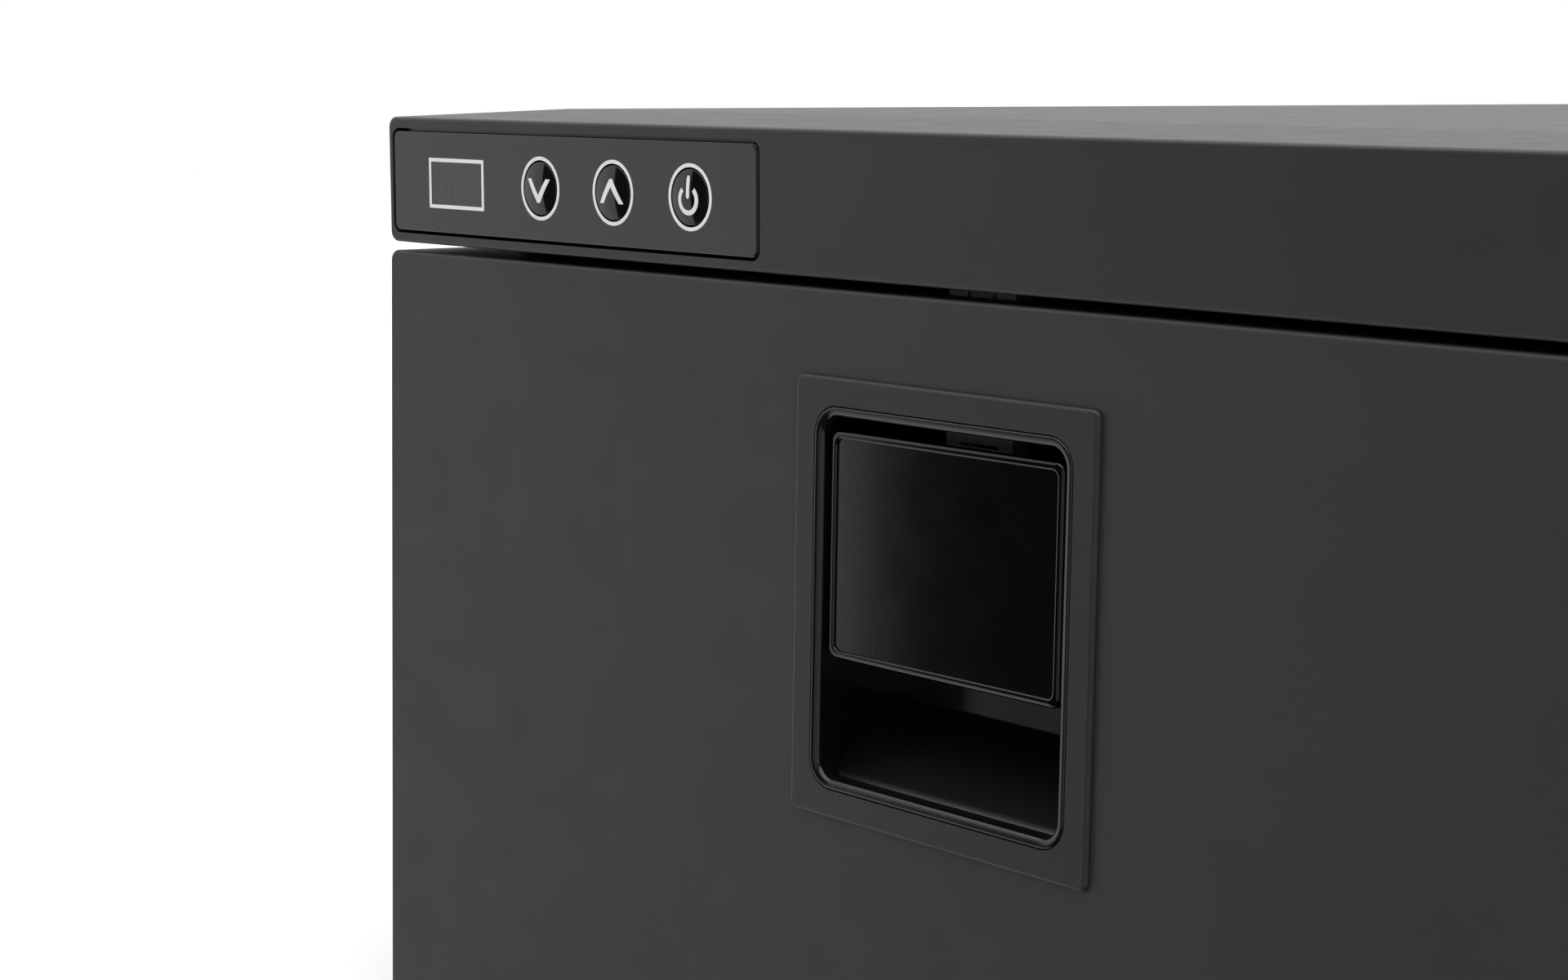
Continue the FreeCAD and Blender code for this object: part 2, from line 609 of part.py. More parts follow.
def make_base_fittings():
    """Threaded inserts that a furniture plate bolts to, and the rubber feet."""
    body = new_body("mounting_inserts")
    pad(body, "XY", "foot_height", "foot_height + insert_length", *four_discs("insert_side", "insert_radius"))
    pocket(body, "XY", "foot_height", "foot_height + insert_length", *four_discs("insert_side", "insert_bore"))
    body = new_body("feet")
    pad(body, "XY", "0", "foot_height", *four_discs("foot_side", "foot_radius"))
    fillet(body, "foot_height / 4", lambda edge: lies_at(edge, "z", "0"))


def make_rear_grille():
    """Screwed rear cover with two fields of slots and openings for the power inlet and the fuse."""
    body = new_body("rear_grille")
    pad(body, "XZ", REAR_INSIDE, REAR_FACE,
        box("-width / 2", "foot_height", "width / 2", "height", "wrap_radius"))
    spans = [(f"{FAN_CENTRE_X} - grille_reach", f"{FAN_CENTRE_X} - grille_rib"),
             (f"{FAN_CENTRE_X} + grille_rib", f"{FAN_CENTRE_X} + grille_reach"),
             ("-compressor_left - compressor_vent / 2", "-compressor_left + compressor_vent / 2")]
    first_row = [box(left, "grille_low", right, "grille_low + slot_width", "slot_width / 2.02")
                 for left, right in spans]
    slots = pocket(body, "XZ", REAR_INSIDE, REAR_FACE, *first_row)
    repeat(body, slots, "Z", "slot_pitch", 13)
    pocket(body, "XZ", REAR_INSIDE, REAR_FACE, inlet_box("0.2"),
           disc("fuse_across", "inlet_up", "fuse_radius + 0.2"), *screw_holes("screw_radius + screw_fit"))
    body = new_body("rear_screws")
    pad(body, "XZ", f"{REAR_INSIDE} - 6", REAR_FACE, *screw_holes("screw_radius"))
    pad(body, "XZ", REAR_FACE, f"{REAR_FACE} + screw_crown", *screw_holes("screw_head"))
    fillet(body, "screw_crown / 2", lambda edge: lies_at(edge, "y", f"{REAR_FACE} + screw_crown"))


def inlet_box(clear):
    """Outline of the power inlet's body in the rear grille, grown outwards."""
    return box(f"-compressor_left - inlet_width / 2 - ({clear})", f"inlet_up - inlet_height / 2 - ({clear})",
               f"-compressor_left + inlet_width / 2 + ({clear})", f"inlet_up + inlet_height / 2 + ({clear})", "3")


def make_power_inlet():
    """Two-pin low-voltage inlet and the cap of its fuse holder."""
    body = new_body("power_inlet")
    pad(body, "XZ", f"{REAR_INSIDE} - 14", REAR_FACE, inlet_box("0"))
    pad(body, "XZ", REAR_FACE, f"{REAR_FACE} + inlet_plate", inlet_box("inlet_flange"))
    pocket(body, "XZ", f"{REAR_FACE} - 9", f"{REAR_FACE} + inlet_plate", inlet_box("-inlet_flange"))
    pins = [disc(f"-compressor_left {sign} inlet_width / 5", "inlet_up", "1.6") for sign in "-+"]
    pad(body, "XZ", f"{REAR_FACE} - 9.5", f"{REAR_FACE} - 1", *pins)
    body = new_body("fuse_cap")
    pad(body, "XZ", f"{REAR_INSIDE} - 18", REAR_FACE, disc("fuse_across", "inlet_up", "fuse_radius"))
    pad(body, "XZ", REAR_FACE, f"{REAR_FACE} + rear_proud", disc("fuse_across", "inlet_up", "fuse_radius + 2"))
    pocket(body, "XZ", f"{REAR_FACE} + 1.8", f"{REAR_FACE} + rear_proud",
           box("fuse_across - fuse_radius", "inlet_up - 0.8", "fuse_across + fuse_radius", "inlet_up + 0.8"))


def make_bulkhead():
    """Sheet between the insulated box and the machine compartment, with a grommet hole for the tubes."""
    body = new_body("bulkhead")
    pad(body, "XZ", "box_depth", "box_depth + sheet",
        box("-width / 2 + sheet + base_sheet + foam_gap", BASE_TOP, "width / 2 - sheet - base_sheet - foam_gap",
            "height - sheet"))
    pocket(body, "XZ", "box_depth", "box_depth + sheet", disc("port_across", "port_up", "port_radius"))
    body = new_body("tube_grommet")
    pad(body, "XZ", "box_depth - 2", "box_depth + 4",
        disc("port_across", "port_up", "port_radius - tube_fit / 2"))
    pad(body, "XZ", "box_depth + sheet", "box_depth + 4", disc("port_across", "port_up", "grommet_radius"))
    pocket(body, "XZ", "box_depth - 2", "box_depth + 4",
           disc("port_across", "port_up", "tube_radius + tube_fit"))


def cavity(grow):
    """Outline of the cold space, grown outwards."""
    return box(f"-cavity_width / 2 - ({grow})", f"cavity_floor - ({grow})", f"cavity_width / 2 + ({grow})",
               f"cavity_floor + cavity_height + ({grow})", f"cavity_radius + ({grow})")


def make_insulated_box():
    """Moulded liner, the foam around it and the frame that the gasket closes on."""
    body = new_body("inner_liner")
    back = f"{LINER_FRONT} + cavity_depth"
    pad(body, "XZ", LINER_FRONT, f"{back} + liner_wall", cavity("liner_wall"))
    pocket(body, "XZ", LINER_FRONT, back, cavity("0"))

    body = new_body("cabinet_foam")
    side = "(width / 2 - sheet - base_sheet - foam_gap)"
    pad(body, "XZ", LINER_FRONT, "box_depth", box(f"-{side}", BASE_TOP, side, "height - sheet"))
    pocket(body, "XZ", LINER_FRONT, "strip_depth", box(f"-{side}", STRIP_BOTTOM, side, "height"))
    pocket(body, "XZ", LINER_FRONT, f"{back} + liner_wall", cavity("liner_wall"))
    pocket(body, "XY", BASE_TOP, "foot_height + insert_length + foam_gap",
           *[disc(f"{sign}insert_side", "insert_front", "insert_radius + foam_gap") for sign in ("-", "")])
    pocket(body, "XZ", f"{back} + liner_wall", "box_depth",
           disc("port_across", "port_up", "port_radius + foam_gap"))

    body = new_body("front_frame")
    edge = "(width / 2 - sheet)"
    pad(body, "XZ", "front_depth", LINER_FRONT,
        box(f"-{edge}", "foot_height + base_flange", edge, STRIP_BOTTOM))
    pad(body, "XZ", "front_depth", LINER_FRONT,
        box(f"-{side}", BASE_TOP, side, "foot_height + base_flange + 1"))
    pocket(body, "XZ", "front_depth", LINER_FRONT, cavity("0"))


def make_evaporator():
    """Cooling plate on stand-offs in front of the liner's rear wall, and the sensor beside it."""
    body = new_body("evaporator_plate")
    back = f"({LINER_FRONT} + cavity_depth)"
    face = f"({back} - evaporator_gap)"
    low = "(cavity_floor + cavity_height / 2 - evaporator_height / 2)"
    high = "(cavity_floor + cavity_height / 2 + evaporator_height / 2)"
    pad(body, "XZ", f"{face} - evaporator_plate", face,
        box("-evaporator_width / 2", low, "evaporator_width / 2", high, "8"))
    rib = pad(body, "XZ", f"{face} - evaporator_plate - 1.6", f"{face} - evaporator_plate",
              box("-evaporator_width / 2 + 18", f"{low} + 14", "evaporator_width / 2 - 18", f"{low} + 21", "3.4"))
    repeat(body, rib, "Z", "24", 5)
    posts = [disc(f"{sign}(evaporator_width / 2 - 9)", up, "4")
             for sign in ("-", "") for up in (f"{low} + 9", f"{high} - 9")]
    pad(body, "XZ", face, back, *posts)
    body = new_body("temperature_sensor")
    pad(body, "XZ", f"{face} - 16", back, disc("cavity_width / 2 - 14", "cavity_floor + 30", "3"))
    fillet(body, "2", lambda edge: lies_at(edge, "y", f"{face} - 16"))


# ---------------------------------------------------------------- control strip

def make_control_strip():
    """Hollow moulding over the drawer whose face leans forward and whose top climbs to the cabinet."""
    body = new_body("control_strip", LATCH)
    wall = "strip_wall"
    lean = "(strip_height * tan(face_lean))"
    pad(body, "YZ", "-width / 2", "width / 2", outline(
        ("0", "0"), ("strip_depth", "0"), ("strip_depth", "strip_height + strip_rise"),
        (f"-{lean}", "strip_height")))
    fillet(body, "corner_radius", lambda edge: lies_at(edge, "x", "width / 2") and edge.BoundBox.YLength > 20)
    fillet(body, "corner_radius", lambda edge: lies_at(edge, "x", "-width / 2") and edge.BoundBox.YLength > 20)
    fillet(body, "edge_radius", lambda edge: edge.BoundBox.YMax < 0.01)
    pocket(body, "YZ", f"-width / 2 + {wall}", f"width / 2 - {wall}", outline(
        (wall, wall), ("strip_depth", wall), ("strip_depth", f"strip_height + strip_rise - {wall}"),
        (f"{wall} - {lean}", f"strip_height - {wall}")))
    pocket(body, "XZ", "-2", wall, box(
        "-width / 2 + panel_left - panel_gap", "panel_bottom - panel_gap",
        "-width / 2 + panel_left + panel_width + panel_gap", "panel_bottom + panel_height + panel_gap",
        "panel_radius + panel_gap"))
    pocket(body, "XY", "0", "strike_plate", strike_outline("0"))
    body = new_body("strike", LATCH)
    pad(body, "XY", "0", "strike_plate", strike_outline("-screw_fit"))


def strike_outline(grow):
    """Outline of the strike in the strip's underside, above the bolt."""
    return box(f"-strike_length / 2 - ({grow})", f"bolt_setback - 6 - ({grow})", f"strike_length / 2 + ({grow})",
               f"bolt_setback + bolt_plate + 6 + ({grow})", "3")


def button_places():
    return [(name, f"(button_left + {i} * button_pitch)") for i, name in enumerate(("down", "up", "power"))]


def window(grow):
    """Outline of the display window, grown outwards."""
    return box(f"window_left - {grow}", f"window_bottom - {grow}", f"window_left + window_width + {grow}",
               f"window_bottom + window_height + {grow}")


def button_discs(radius):
    return [disc(across, "button_height", radius) for _, across in button_places()]


def make_control_panel():
    """Glossy inlay, its window, the frame behind it, the board with its switches, and the display."""
    body = new_body("control_panel", CONTROLS, "face_lean")
    right = "panel_left + panel_width"
    top = "panel_bottom + panel_height"
    pad(body, "XZ", "0", "panel_plate", box("panel_left", "panel_bottom", right, top, "panel_radius"))
    fillet(body, "0.6", lambda edge: lies_at(edge, "y", "0"))
    pocket(body, "XZ", "0", "panel_plate", window("0"), *button_discs("button_radius + button_gap"))

    body = new_body("display_window", CONTROLS, "face_lean")
    pad(body, "XZ", "0.1", "panel_plate", window("(-window_gap)"))

    body = new_body("panel_carrier", CONTROLS, "face_lean")
    pad(body, "XZ", "strip_wall + 0.15", "strip_wall + 0.15 + carrier_plate",
        box("strip_wall + 0.6", "strip_wall + 0.6", f"{right} + 4", "strip_height - strip_wall - 0.3"))
    pocket(body, "XZ", "strip_wall + 0.15", "strip_wall + 0.15 + carrier_plate", window("1"),
           *button_discs("button_radius + button_gap + 1.6"))

    board_back = "board_depth + board_plate"
    body = new_body("control_board", CONTROLS, "face_lean")
    pad(body, "XZ", "board_depth", board_back,
        box("strip_wall + 4", "strip_wall + 1.2", f"{right} - 2", "strip_height - strip_wall - 0.8"))
    body = new_body("board_spacers", CONTROLS, "face_lean")
    posts = [disc(x, y, "2")
             for x in ("strip_wall + 7", f"{right} - 6") for y in ("strip_wall + 4", "strip_height - 7")]
    pad(body, "XZ", "strip_wall + 0.15 + carrier_plate", "board_depth", *posts)

    body = new_body("tact_switches", CONTROLS, "face_lean")
    half = "(switch_size / 2)"
    cases = [box(f"{x} - {half}", f"button_height - {half}", f"{x} + {half}", f"button_height + {half}")
             for _, x in button_places()]
    pad(body, "XZ", "board_depth - switch_case", "board_depth", *cases)
    pad(body, "XZ", "switch_face", "board_depth - switch_case", *button_discs("stem_radius + 0.1"))

    body = new_body("display_module", CONTROLS, "face_lean")
    pad(body, "XZ", "panel_plate + 0.2", "board_depth", window("(-0.4)"))


def make_buttons():
    """Domed push buttons, each held behind the panel by its flange."""
    for name, across in button_places():
        body = new_body(f"button_{name}", (f"-width / 2 + {across}", FRONT, STRIP_BOTTOM), "face_lean")
        pad(body, "XZ", "-button_crown", "panel_plate + button_skirt",
            disc("0", "button_height", "button_radius"))
        fillet(body, "button_crown - 0.1", lambda edge: lies_at(edge, "y", "-button_crown"))
        pad(body, "XZ", "panel_plate + flange_back", "panel_plate + flange_back + flange_plate",
            disc("0", "button_height", "button_radius + flange_reach"))
        pad(body, "XZ", "panel_plate + button_skirt", "switch_face - button_travel - 0.1",
            disc("0", "button_height", "stem_radius"))


# ---------------------------------------------------------------- drawer

def make_drawer_front():
    """Outer shell, foam and inner panel of the thick drawer front, with its gasket."""
    side = "(width / 2)"
    wall = "skin_wall"
    mouth = box(f"-{CUP_SIDE} - cup_gap", "-mouth_drop - mouth_height - cup_wall - cup_gap",
                f"{CUP_SIDE} + cup_gap", "-mouth_drop + cup_wall + cup_gap", "mouth_radius")
    low = f"(floor_gap - {STRIP_BOTTOM})"
    body = new_body("drawer_shell", LATCH)
    pad(body, "XZ", "0", SKIN_BACK, box(f"-{side}", low, side, "-strip_gap", "corner_radius"))
    fillet(body, "edge_radius", lambda edge: lies_at(edge, "y", "0"))
    pocket(body, "XZ", wall, SKIN_BACK, box(f"-{side} + {wall}", f"{low} + {wall}", f"{side} - {wall}",
                                            f"-strip_gap - {wall}", "corner_radius"))
    pocket(body, "XZ", "0", wall, mouth)
    pocket(body, "XY", f"-strip_gap - {wall}", "-strip_gap", bolt_outline("slide_fit"))

    inner_front = f"({SKIN_BACK} - inner_panel)"
    body = new_body("drawer_foam", LATCH)
    pad(body, "XZ", f"{wall} + foam_gap", f"{inner_front} - foam_gap",
        box(f"-{side} + {wall} + foam_gap", f"{low} + {wall} + foam_gap", f"{side} - {wall} - foam_gap",
            f"-strip_gap - {wall} - foam_gap", "corner_radius"))
    pocket(body, "XZ", f"{wall} + foam_gap", "cup_depth + cup_wall + 2",
           box(f"-{CUP_SIDE} - 2", "-mouth_drop - mouth_height - cup_wall - 2",
               f"{CUP_SIDE} + 2", "-strip_gap - 1"))

    body = new_body("drawer_inner_panel", LATCH)
    inside = f"({side} - {wall} - foam_gap)"
    pad(body, "XZ", inner_front, SKIN_BACK,
        box(f"-{inside}", f"{low} + {wall} + foam_gap", inside, f"-strip_gap - {wall} - foam_gap",
            "corner_radius"))
    floor = f"(cavity_floor - {STRIP_BOTTOM})"
    plug = box("-cavity_width / 2 + plug_gap", f"{floor} + plug_gap", "cavity_width / 2 - plug_gap",
               f"{floor} + cavity_height - plug_gap", "cavity_radius")
    pad(body, "XZ", SKIN_BACK, f"{SKIN_BACK} + plug_depth", plug)

    body = new_body("door_gasket")
    pad(body, "XZ", SKIN_BACK, "front_depth - gasket_gap", cavity("gasket_inset + gasket_width"))
    pocket(body, "XZ", SKIN_BACK, "front_depth - gasket_gap", cavity("gasket_inset"))
    fillet(body, "1.5", lambda edge: lies_at(edge, "y", "front_depth - gasket_gap"))


def make_bin():
    """Open storage bin that hangs between the drawer's side plates, and its divider."""
    outer = f"({SIDE_PLATE} - sheet - bin_gap)"
    inner = f"({outer} - bin_wall)"
    low = "(cavity_floor + bin_lift)"
    top = f"({low} + bin_height)"
    front = "(front_depth + bin_front)"
    back = f"({front} + bin_length)"
    body = new_body("storage_bin")
    pad(body, "XY", low, top, box(f"-{outer}", front, outer, back, "bin_radius"))
    fillet(body, "bin_radius / 2", lambda edge: lies_at(edge, "z", low))
    pad(body, "XY", f"{top} - bin_wall", top,
        box(f"-{outer} - bin_rim", f"{front} - bin_rim", f"{outer} + bin_rim", f"{back} + bin_rim",
            "bin_radius + bin_rim"))
    pocket(body, "XY", f"{low} + bin_wall", top,
           box(f"-{inner}", f"{front} + bin_wall", inner, f"{back} - bin_wall", "bin_radius - bin_wall"))
    fillet(body, "bin_radius / 2 - bin_wall", lambda edge: lies_at(edge, "z", f"{low} + bin_wall"))

    body = new_body("bin_divider")
    inset = "(bin_wall + divider_gap)"
    pad(body, "YZ", "-bin_wall / 2", "bin_wall / 2",
        box(f"{front} + {inset}", f"{low} + {inset}", f"{back} - {inset}", f"{top} - divider_drop",
            "bin_radius / 2 + 1"))


def across(side, near, far):
    """The two ends of a span on one side of the centre line, lower end first."""
    return (f"-{far}", f"-({near})") if side == "left" else (near, far)


def channel(sign, web_outside, web_inside, lip, low, high):
    """C-shaped section with its web outboard, on one side of the cavity."""
    steel = "rail_sheet"
    return outline(
        (f"{sign}({web_outside})", low), (f"{sign}({lip})", low), (f"{sign}({lip})", f"{low} + {steel}"),
        (f"{sign}({web_inside})", f"{low} + {steel}"), (f"{sign}({web_inside})", f"{high} - {steel}"),
        (f"{sign}({lip})", f"{high} - {steel}"), (f"{sign}({lip})", high), (f"{sign}({web_outside})", high))


def make_rails():
    """Three-member telescopic rails and the side plates that carry the bin, left and right."""
    wall = "cavity_width / 2"
    step = "(rail_sheet + rail_gap)"
    end = f"({RAIL_START} + rail_length)"
    for side, sign in (("left", "-"), ("right", "")):
        for depth, name in enumerate(("outer", "middle", "inner")):
            body = new_body(f"{name}_rail_{side}")
            web = f"{wall} - {depth} * {step}"
            lip = ("cavity_width / 2 - rail_reach", "cavity_width / 2 - rail_reach + 0.5", SIDE_PLATE)[depth]
            pad(body, "XZ", RAIL_START, end, channel(
                sign, web, f"{web} - rail_sheet", lip, f"({RAIL_LOW} + {depth} * {step})",
                f"({RAIL_LOW} + rail_height - {depth} * {step})"))
        body = new_body(f"side_plate_{side}")
        low = f"({RAIL_LOW} + 2 * {step})"
        start = f"({SKIN_BACK} + plug_depth)"
        pad(body, "YZ", *across(side, f"{SIDE_PLATE} - sheet", SIDE_PLATE),
            outline((start, "cavity_floor + side_plate_lift"), (f"{start} + 60", low), (end, low),
                    (end, f"{low} + rail_height - 4 * {step}"),
                    (f"{start} + 90", "cavity_floor + side_plate_top"),
                    (start, "cavity_floor + side_plate_top")))
        flange = across(side, f"({SIDE_PLATE} - side_flange)", SIDE_PLATE)
        pad(body, "XZ", start, f"{start} + sheet",
            box(flange[0], "cavity_floor + side_plate_lift", flange[1], "cavity_floor + side_plate_top"))


# ---------------------------------------------------------------- latch

def bolt_outline(grow):
    """Plan outline of the bolt, grown outwards."""
    return box(f"-bolt_width / 2 - {grow}", f"bolt_setback - {grow}", f"bolt_width / 2 + {grow}",
               f"bolt_setback + bolt_plate + {grow}")


def mouth(grow):
    """Outline of the latch cup's opening, grown outwards."""
    return box(f"-mouth_width / 2 - {grow}", f"-mouth_drop - mouth_height - {grow}", f"mouth_width / 2 + {grow}",
               f"-mouth_drop + {grow}", f"mouth_radius + {grow}")


def make_latch_bezel():
    """Thin plate round the latch, standing proud of the drawer's face."""
    body = new_body("latch_bezel", LATCH)
    pad(body, "XZ", "-bezel_proud", "0",
        box("-bezel_width / 2", "-bezel_drop - bezel_height", "bezel_width / 2", "-bezel_drop", "bezel_radius"))
    fillet(body, "edge_radius", lambda edge: lies_at(edge, "y", "-bezel_proud"))
    pocket(body, "XZ", "-bezel_proud", "0", mouth("(rim_width + rim_gap)"))


def make_latch_cup():
    """Recess behind the paddle with a beaded rim, a sloping floor, pin holes and a slot for the bolt."""
    body = new_body("latch_cup", LATCH)
    rim_face = "(-bezel_proud - rim_proud)"
    pad(body, "XZ", rim_face, "cup_depth + cup_wall", mouth("cup_wall"))
    pad(body, "XZ", rim_face, "0", mouth("rim_width"))
    pocket(body, "XZ", rim_face, "cup_depth", mouth("0"))
    fillet(body, "rim_round", lambda edge: lies_at(edge, "y", rim_face) and is_within(edge, mouth("0")))
    inner_round = mouth("rim_round + 0.01")
    fillet(body, "rim_edge", lambda edge: lies_at(edge, "y", rim_face) and not is_within(edge, inner_round))
    low = "(-mouth_drop - mouth_height)"
    pad(body, "YZ", "-mouth_width / 2 - cup_wall / 2", "mouth_width / 2 + cup_wall / 2", outline(
        ("ramp_start", f"{low} - cup_wall / 2"), ("cup_depth + cup_wall / 2", f"{low} - cup_wall / 2"),
        ("cup_depth + cup_wall / 2", f"{low} + ramp_height"), ("cup_depth", f"{low} + ramp_height"),
        ("ramp_start", f"{low}")))
    pocket(body, "YZ", f"-{CUP_SIDE}", CUP_SIDE, disc("pin_setback", PIN_HEIGHT, "pin_radius + pin_fit"))
    pocket(body, "XY", "-mouth_drop", "-mouth_drop + cup_wall", bolt_outline("slide_fit"))

    body = new_body("bolt_guide", LATCH)
    base = "-mouth_drop + cup_wall"
    pad(body, "XY", base, "-strip_gap - skin_wall - 0.3", bolt_outline("guide_wall"))
    pocket(body, "XY", base, "-strip_gap - skin_wall - 0.3", bolt_outline("slide_fit"))


def make_latch_paddle():
    """Pull paddle with a raised rim, two knuckles on the pin and a finger through the bolt."""
    body = new_body("latch_paddle", LATCH)
    top, low = "-paddle_drop", "(-paddle_drop - paddle_height)"
    half = "(paddle_width / 2)"
    pad(body, "XZ", "paddle_setback", PADDLE_BACK, box(f"-{half}", low, half, top, "paddle_radius"))
    fillet(body, "paddle_round", lambda edge: lies_at(edge, "y", "paddle_setback"))
    dish = box(f"-{half} + paddle_rim", f"{low} + paddle_rim", f"{half} - paddle_rim", f"{top} - paddle_rim",
               "paddle_radius - paddle_rim / 2")
    pocket(body, "XZ", "paddle_setback", "paddle_setback + paddle_dish", dish)
    fillet(body, "paddle_dish * 0.8",
           lambda edge: lies_at(edge, "y", "paddle_setback") and is_within(edge, dish))
    start = f"{half} - knuckle_inset - knuckle_length"
    for sign in ("left", "right"):
        ends = across(sign, start, f"({half} - knuckle_inset)")
        pad(body, "YZ", *ends, disc("pin_setback", PIN_HEIGHT, "knuckle_radius"))
        pad(body, "YZ", *ends, box(f"{PADDLE_BACK} - 0.5", "-pin_drop - 2", "pin_setback", "-pin_drop + 2"))
    pad(body, "YZ", "-finger_width / 2", "finger_width / 2",
        box(f"{PADDLE_BACK} - 0.5", "-pin_drop - finger_plate / 2", "pin_setback + finger_reach",
            "-pin_drop + finger_plate / 2", "0.6"))
    pocket(body, "YZ", f"-{half}", half, disc("pin_setback", PIN_HEIGHT, "pin_radius + pin_fit"))

    body = new_body("latch_pin", LATCH)
    pad(body, "YZ", f"-{CUP_SIDE}", CUP_SIDE, disc("pin_setback", PIN_HEIGHT, "pin_radius"))


def make_latch_bolt():
    """Sprung bolt with a rib on its tip and a window for the paddle's finger."""
    body = new_body("latch_bolt", LATCH)
    pad(body, "XY", "-bolt_clear - bolt_length", "-bolt_clear", bolt_outline("0"))
    fillet(body, "0.8", lambda edge: lies_at(edge, "z", "-bolt_clear") and runs_along(edge, "x"))
    pocket(body, "XZ", "bolt_setback", "bolt_setback + bolt_plate",
           box("-finger_width / 2 - 1", "-pin_drop - finger_plate / 2 - window_below", "finger_width / 2 + 1",
               "-pin_drop + finger_plate / 2 + window_above"))
    grooves = [box(f"{x} - 0.6", "-bolt_clear - 3.4", f"{x} + 0.6", "-bolt_clear") for x in ("-4", "4")]
    pocket(body, "XZ", "bolt_setback", "bolt_setback + 0.6", *grooves)


def make_latch_spring():
    """Torsion coil on the pin with one leg resting against the cup's rear wall."""
    turns = 8
    wire = number("spring_wire")
    pitch = 2.6 * wire
    coil = number("spring_radius")
    helix = Part.makeHelix(pitch, turns * pitch, coil)
    section = Part.Wire(Part.Circle(Vector(coil, 0, 0), Vector(0, 1, 0), wire).toShape())
    spring = Part.Wire(helix.Edges).makePipeShell([section], True, True)
    feature = add_shape("latch_spring", spring,
                        ("finger_width / 2 + 1.6", f"{FRONT} + pin_setback", f"{STRIP_BOTTOM} - pin_drop"))
    feature.Placement.Rotation = FreeCAD.Rotation(Vector(0, 1, 0), 90)


# ---------------------------------------------------------------- machine compartment

def make_compressor():
    """Hermetic compressor on a foot plate with rubber grommets, and its electronic controller."""
    x, y = "-compressor_left", "(box_depth + sheet + machine_line)"
    low = f"({BASE_TOP} + compressor_lift)"
    body = new_body("compressor")
    pad(body, "XY", low, f"{low} + compressor_height", disc(x, y, "compressor_radius"))
    fillet(body, "compressor_radius * 0.42", lambda edge: lies_at(edge, "z", f"{low} + compressor_height"))
    fillet(body, "compressor_radius * 0.2", lambda edge: lies_at(edge, "z", low))
    seam = f"({low} + compressor_height * 0.55)"
    pad(body, "XY", f"{seam} - 2", f"{seam} + 2", disc(x, y, "compressor_radius + 2.5"))
    plate = box(f"{x} - mount_width / 2", f"{y} - mount_depth / 2",
                f"{x} + mount_width / 2", f"{y} + mount_depth / 2", "8")
    pad(body, "XY", f"{low} - mount_plate", f"{low} + 1", plate)
    corners = [(f"{x} {a} (mount_width / 2 - mount_inset)", f"{y} {b} (mount_depth / 2 - mount_inset)")
               for a in "-+" for b in "-+"]
    pocket(body, "XY", f"{low} - mount_plate", f"{low} + 1", *[disc(a, b, "5") for a, b in corners])

    body = new_body("compressor_grommets")
    pad(body, "XY", BASE_TOP, f"{low} - mount_plate", *[disc(a, b, "9") for a, b in corners])
    pad(body, "XY", f"{low} - mount_plate - 1", f"{low} + 2", *[disc(a, b, "4.8") for a, b in corners])
    pad(body, "XY", f"{low} + 1", f"{low} + 4", *[disc(a, b, "8") for a, b in corners])

    body = new_body("compressor_controller")
    back = "(box_depth + sheet)"
    face = f"({back} + controller_depth)"
    pad(body, "XZ", back, face,
        box("controller_left", "controller_low", "controller_left + controller_width", "controller_top", "4"))
    fillet(body, "1.5", lambda edge: lies_at(edge, "y", face))
    rib = pad(body, "XZ", face, f"{face} + rib_height",
              box("controller_left + rib_inset", "controller_low + rib_inset",
                  "controller_left + rib_inset + rib_plate", "controller_top - rib_inset"))
    repeat(body, rib, "X", "rib_pitch", 11)


def coil_height_at(index):
    return f"(foot_height + base_sheet + coil_lift + coil_height / 2 + ({index} - 2.5) * coil_pass)"


def make_condenser():
    """Fin pack with its serpentine tube."""
    y0 = "(box_depth + sheet + coil_setback)"
    y1 = f"({y0} + coil_plate)"
    middle = f"({y0} + coil_plate / 2)"
    low = f"({BASE_TOP} + coil_lift)"
    body = new_body("condenser_fins")
    heights = [coil_height_at(i) for i in range(6)]
    first = "coil_left"
    fin = pad(body, "YZ", first, f"{first} + fin_plate", box(y0, low, y1, f"{low} + coil_height"),
              *[disc(middle, up, "tube_radius + tube_fit") for up in heights])
    repeat(body, fin, "X", "(coil_width - fin_plate) / 25", 26)

    left, right = number("coil_left") - 4, number("coil_left + coil_width") + 4
    y = number(middle)
    edges = []
    bend = number("coil_pass / 2")
    for i in range(6):
        ends = (left, right) if i % 2 == 0 else (right, left)
        z = number(coil_height_at(i))
        edges.append(Part.LineSegment(Vector(ends[0], y, z), Vector(ends[1], y, z)).toShape())
        if i < 5:
            outward = bend if ends[1] == right else -bend
            edges.append(Part.Arc(Vector(ends[1], y, z), Vector(ends[1] + outward, y, z + bend),
                                  Vector(ends[1], y, z + 2 * bend)).toShape())
    add_shape("condenser_tube", swept(Part.Wire(edges), number("tube_radius")))


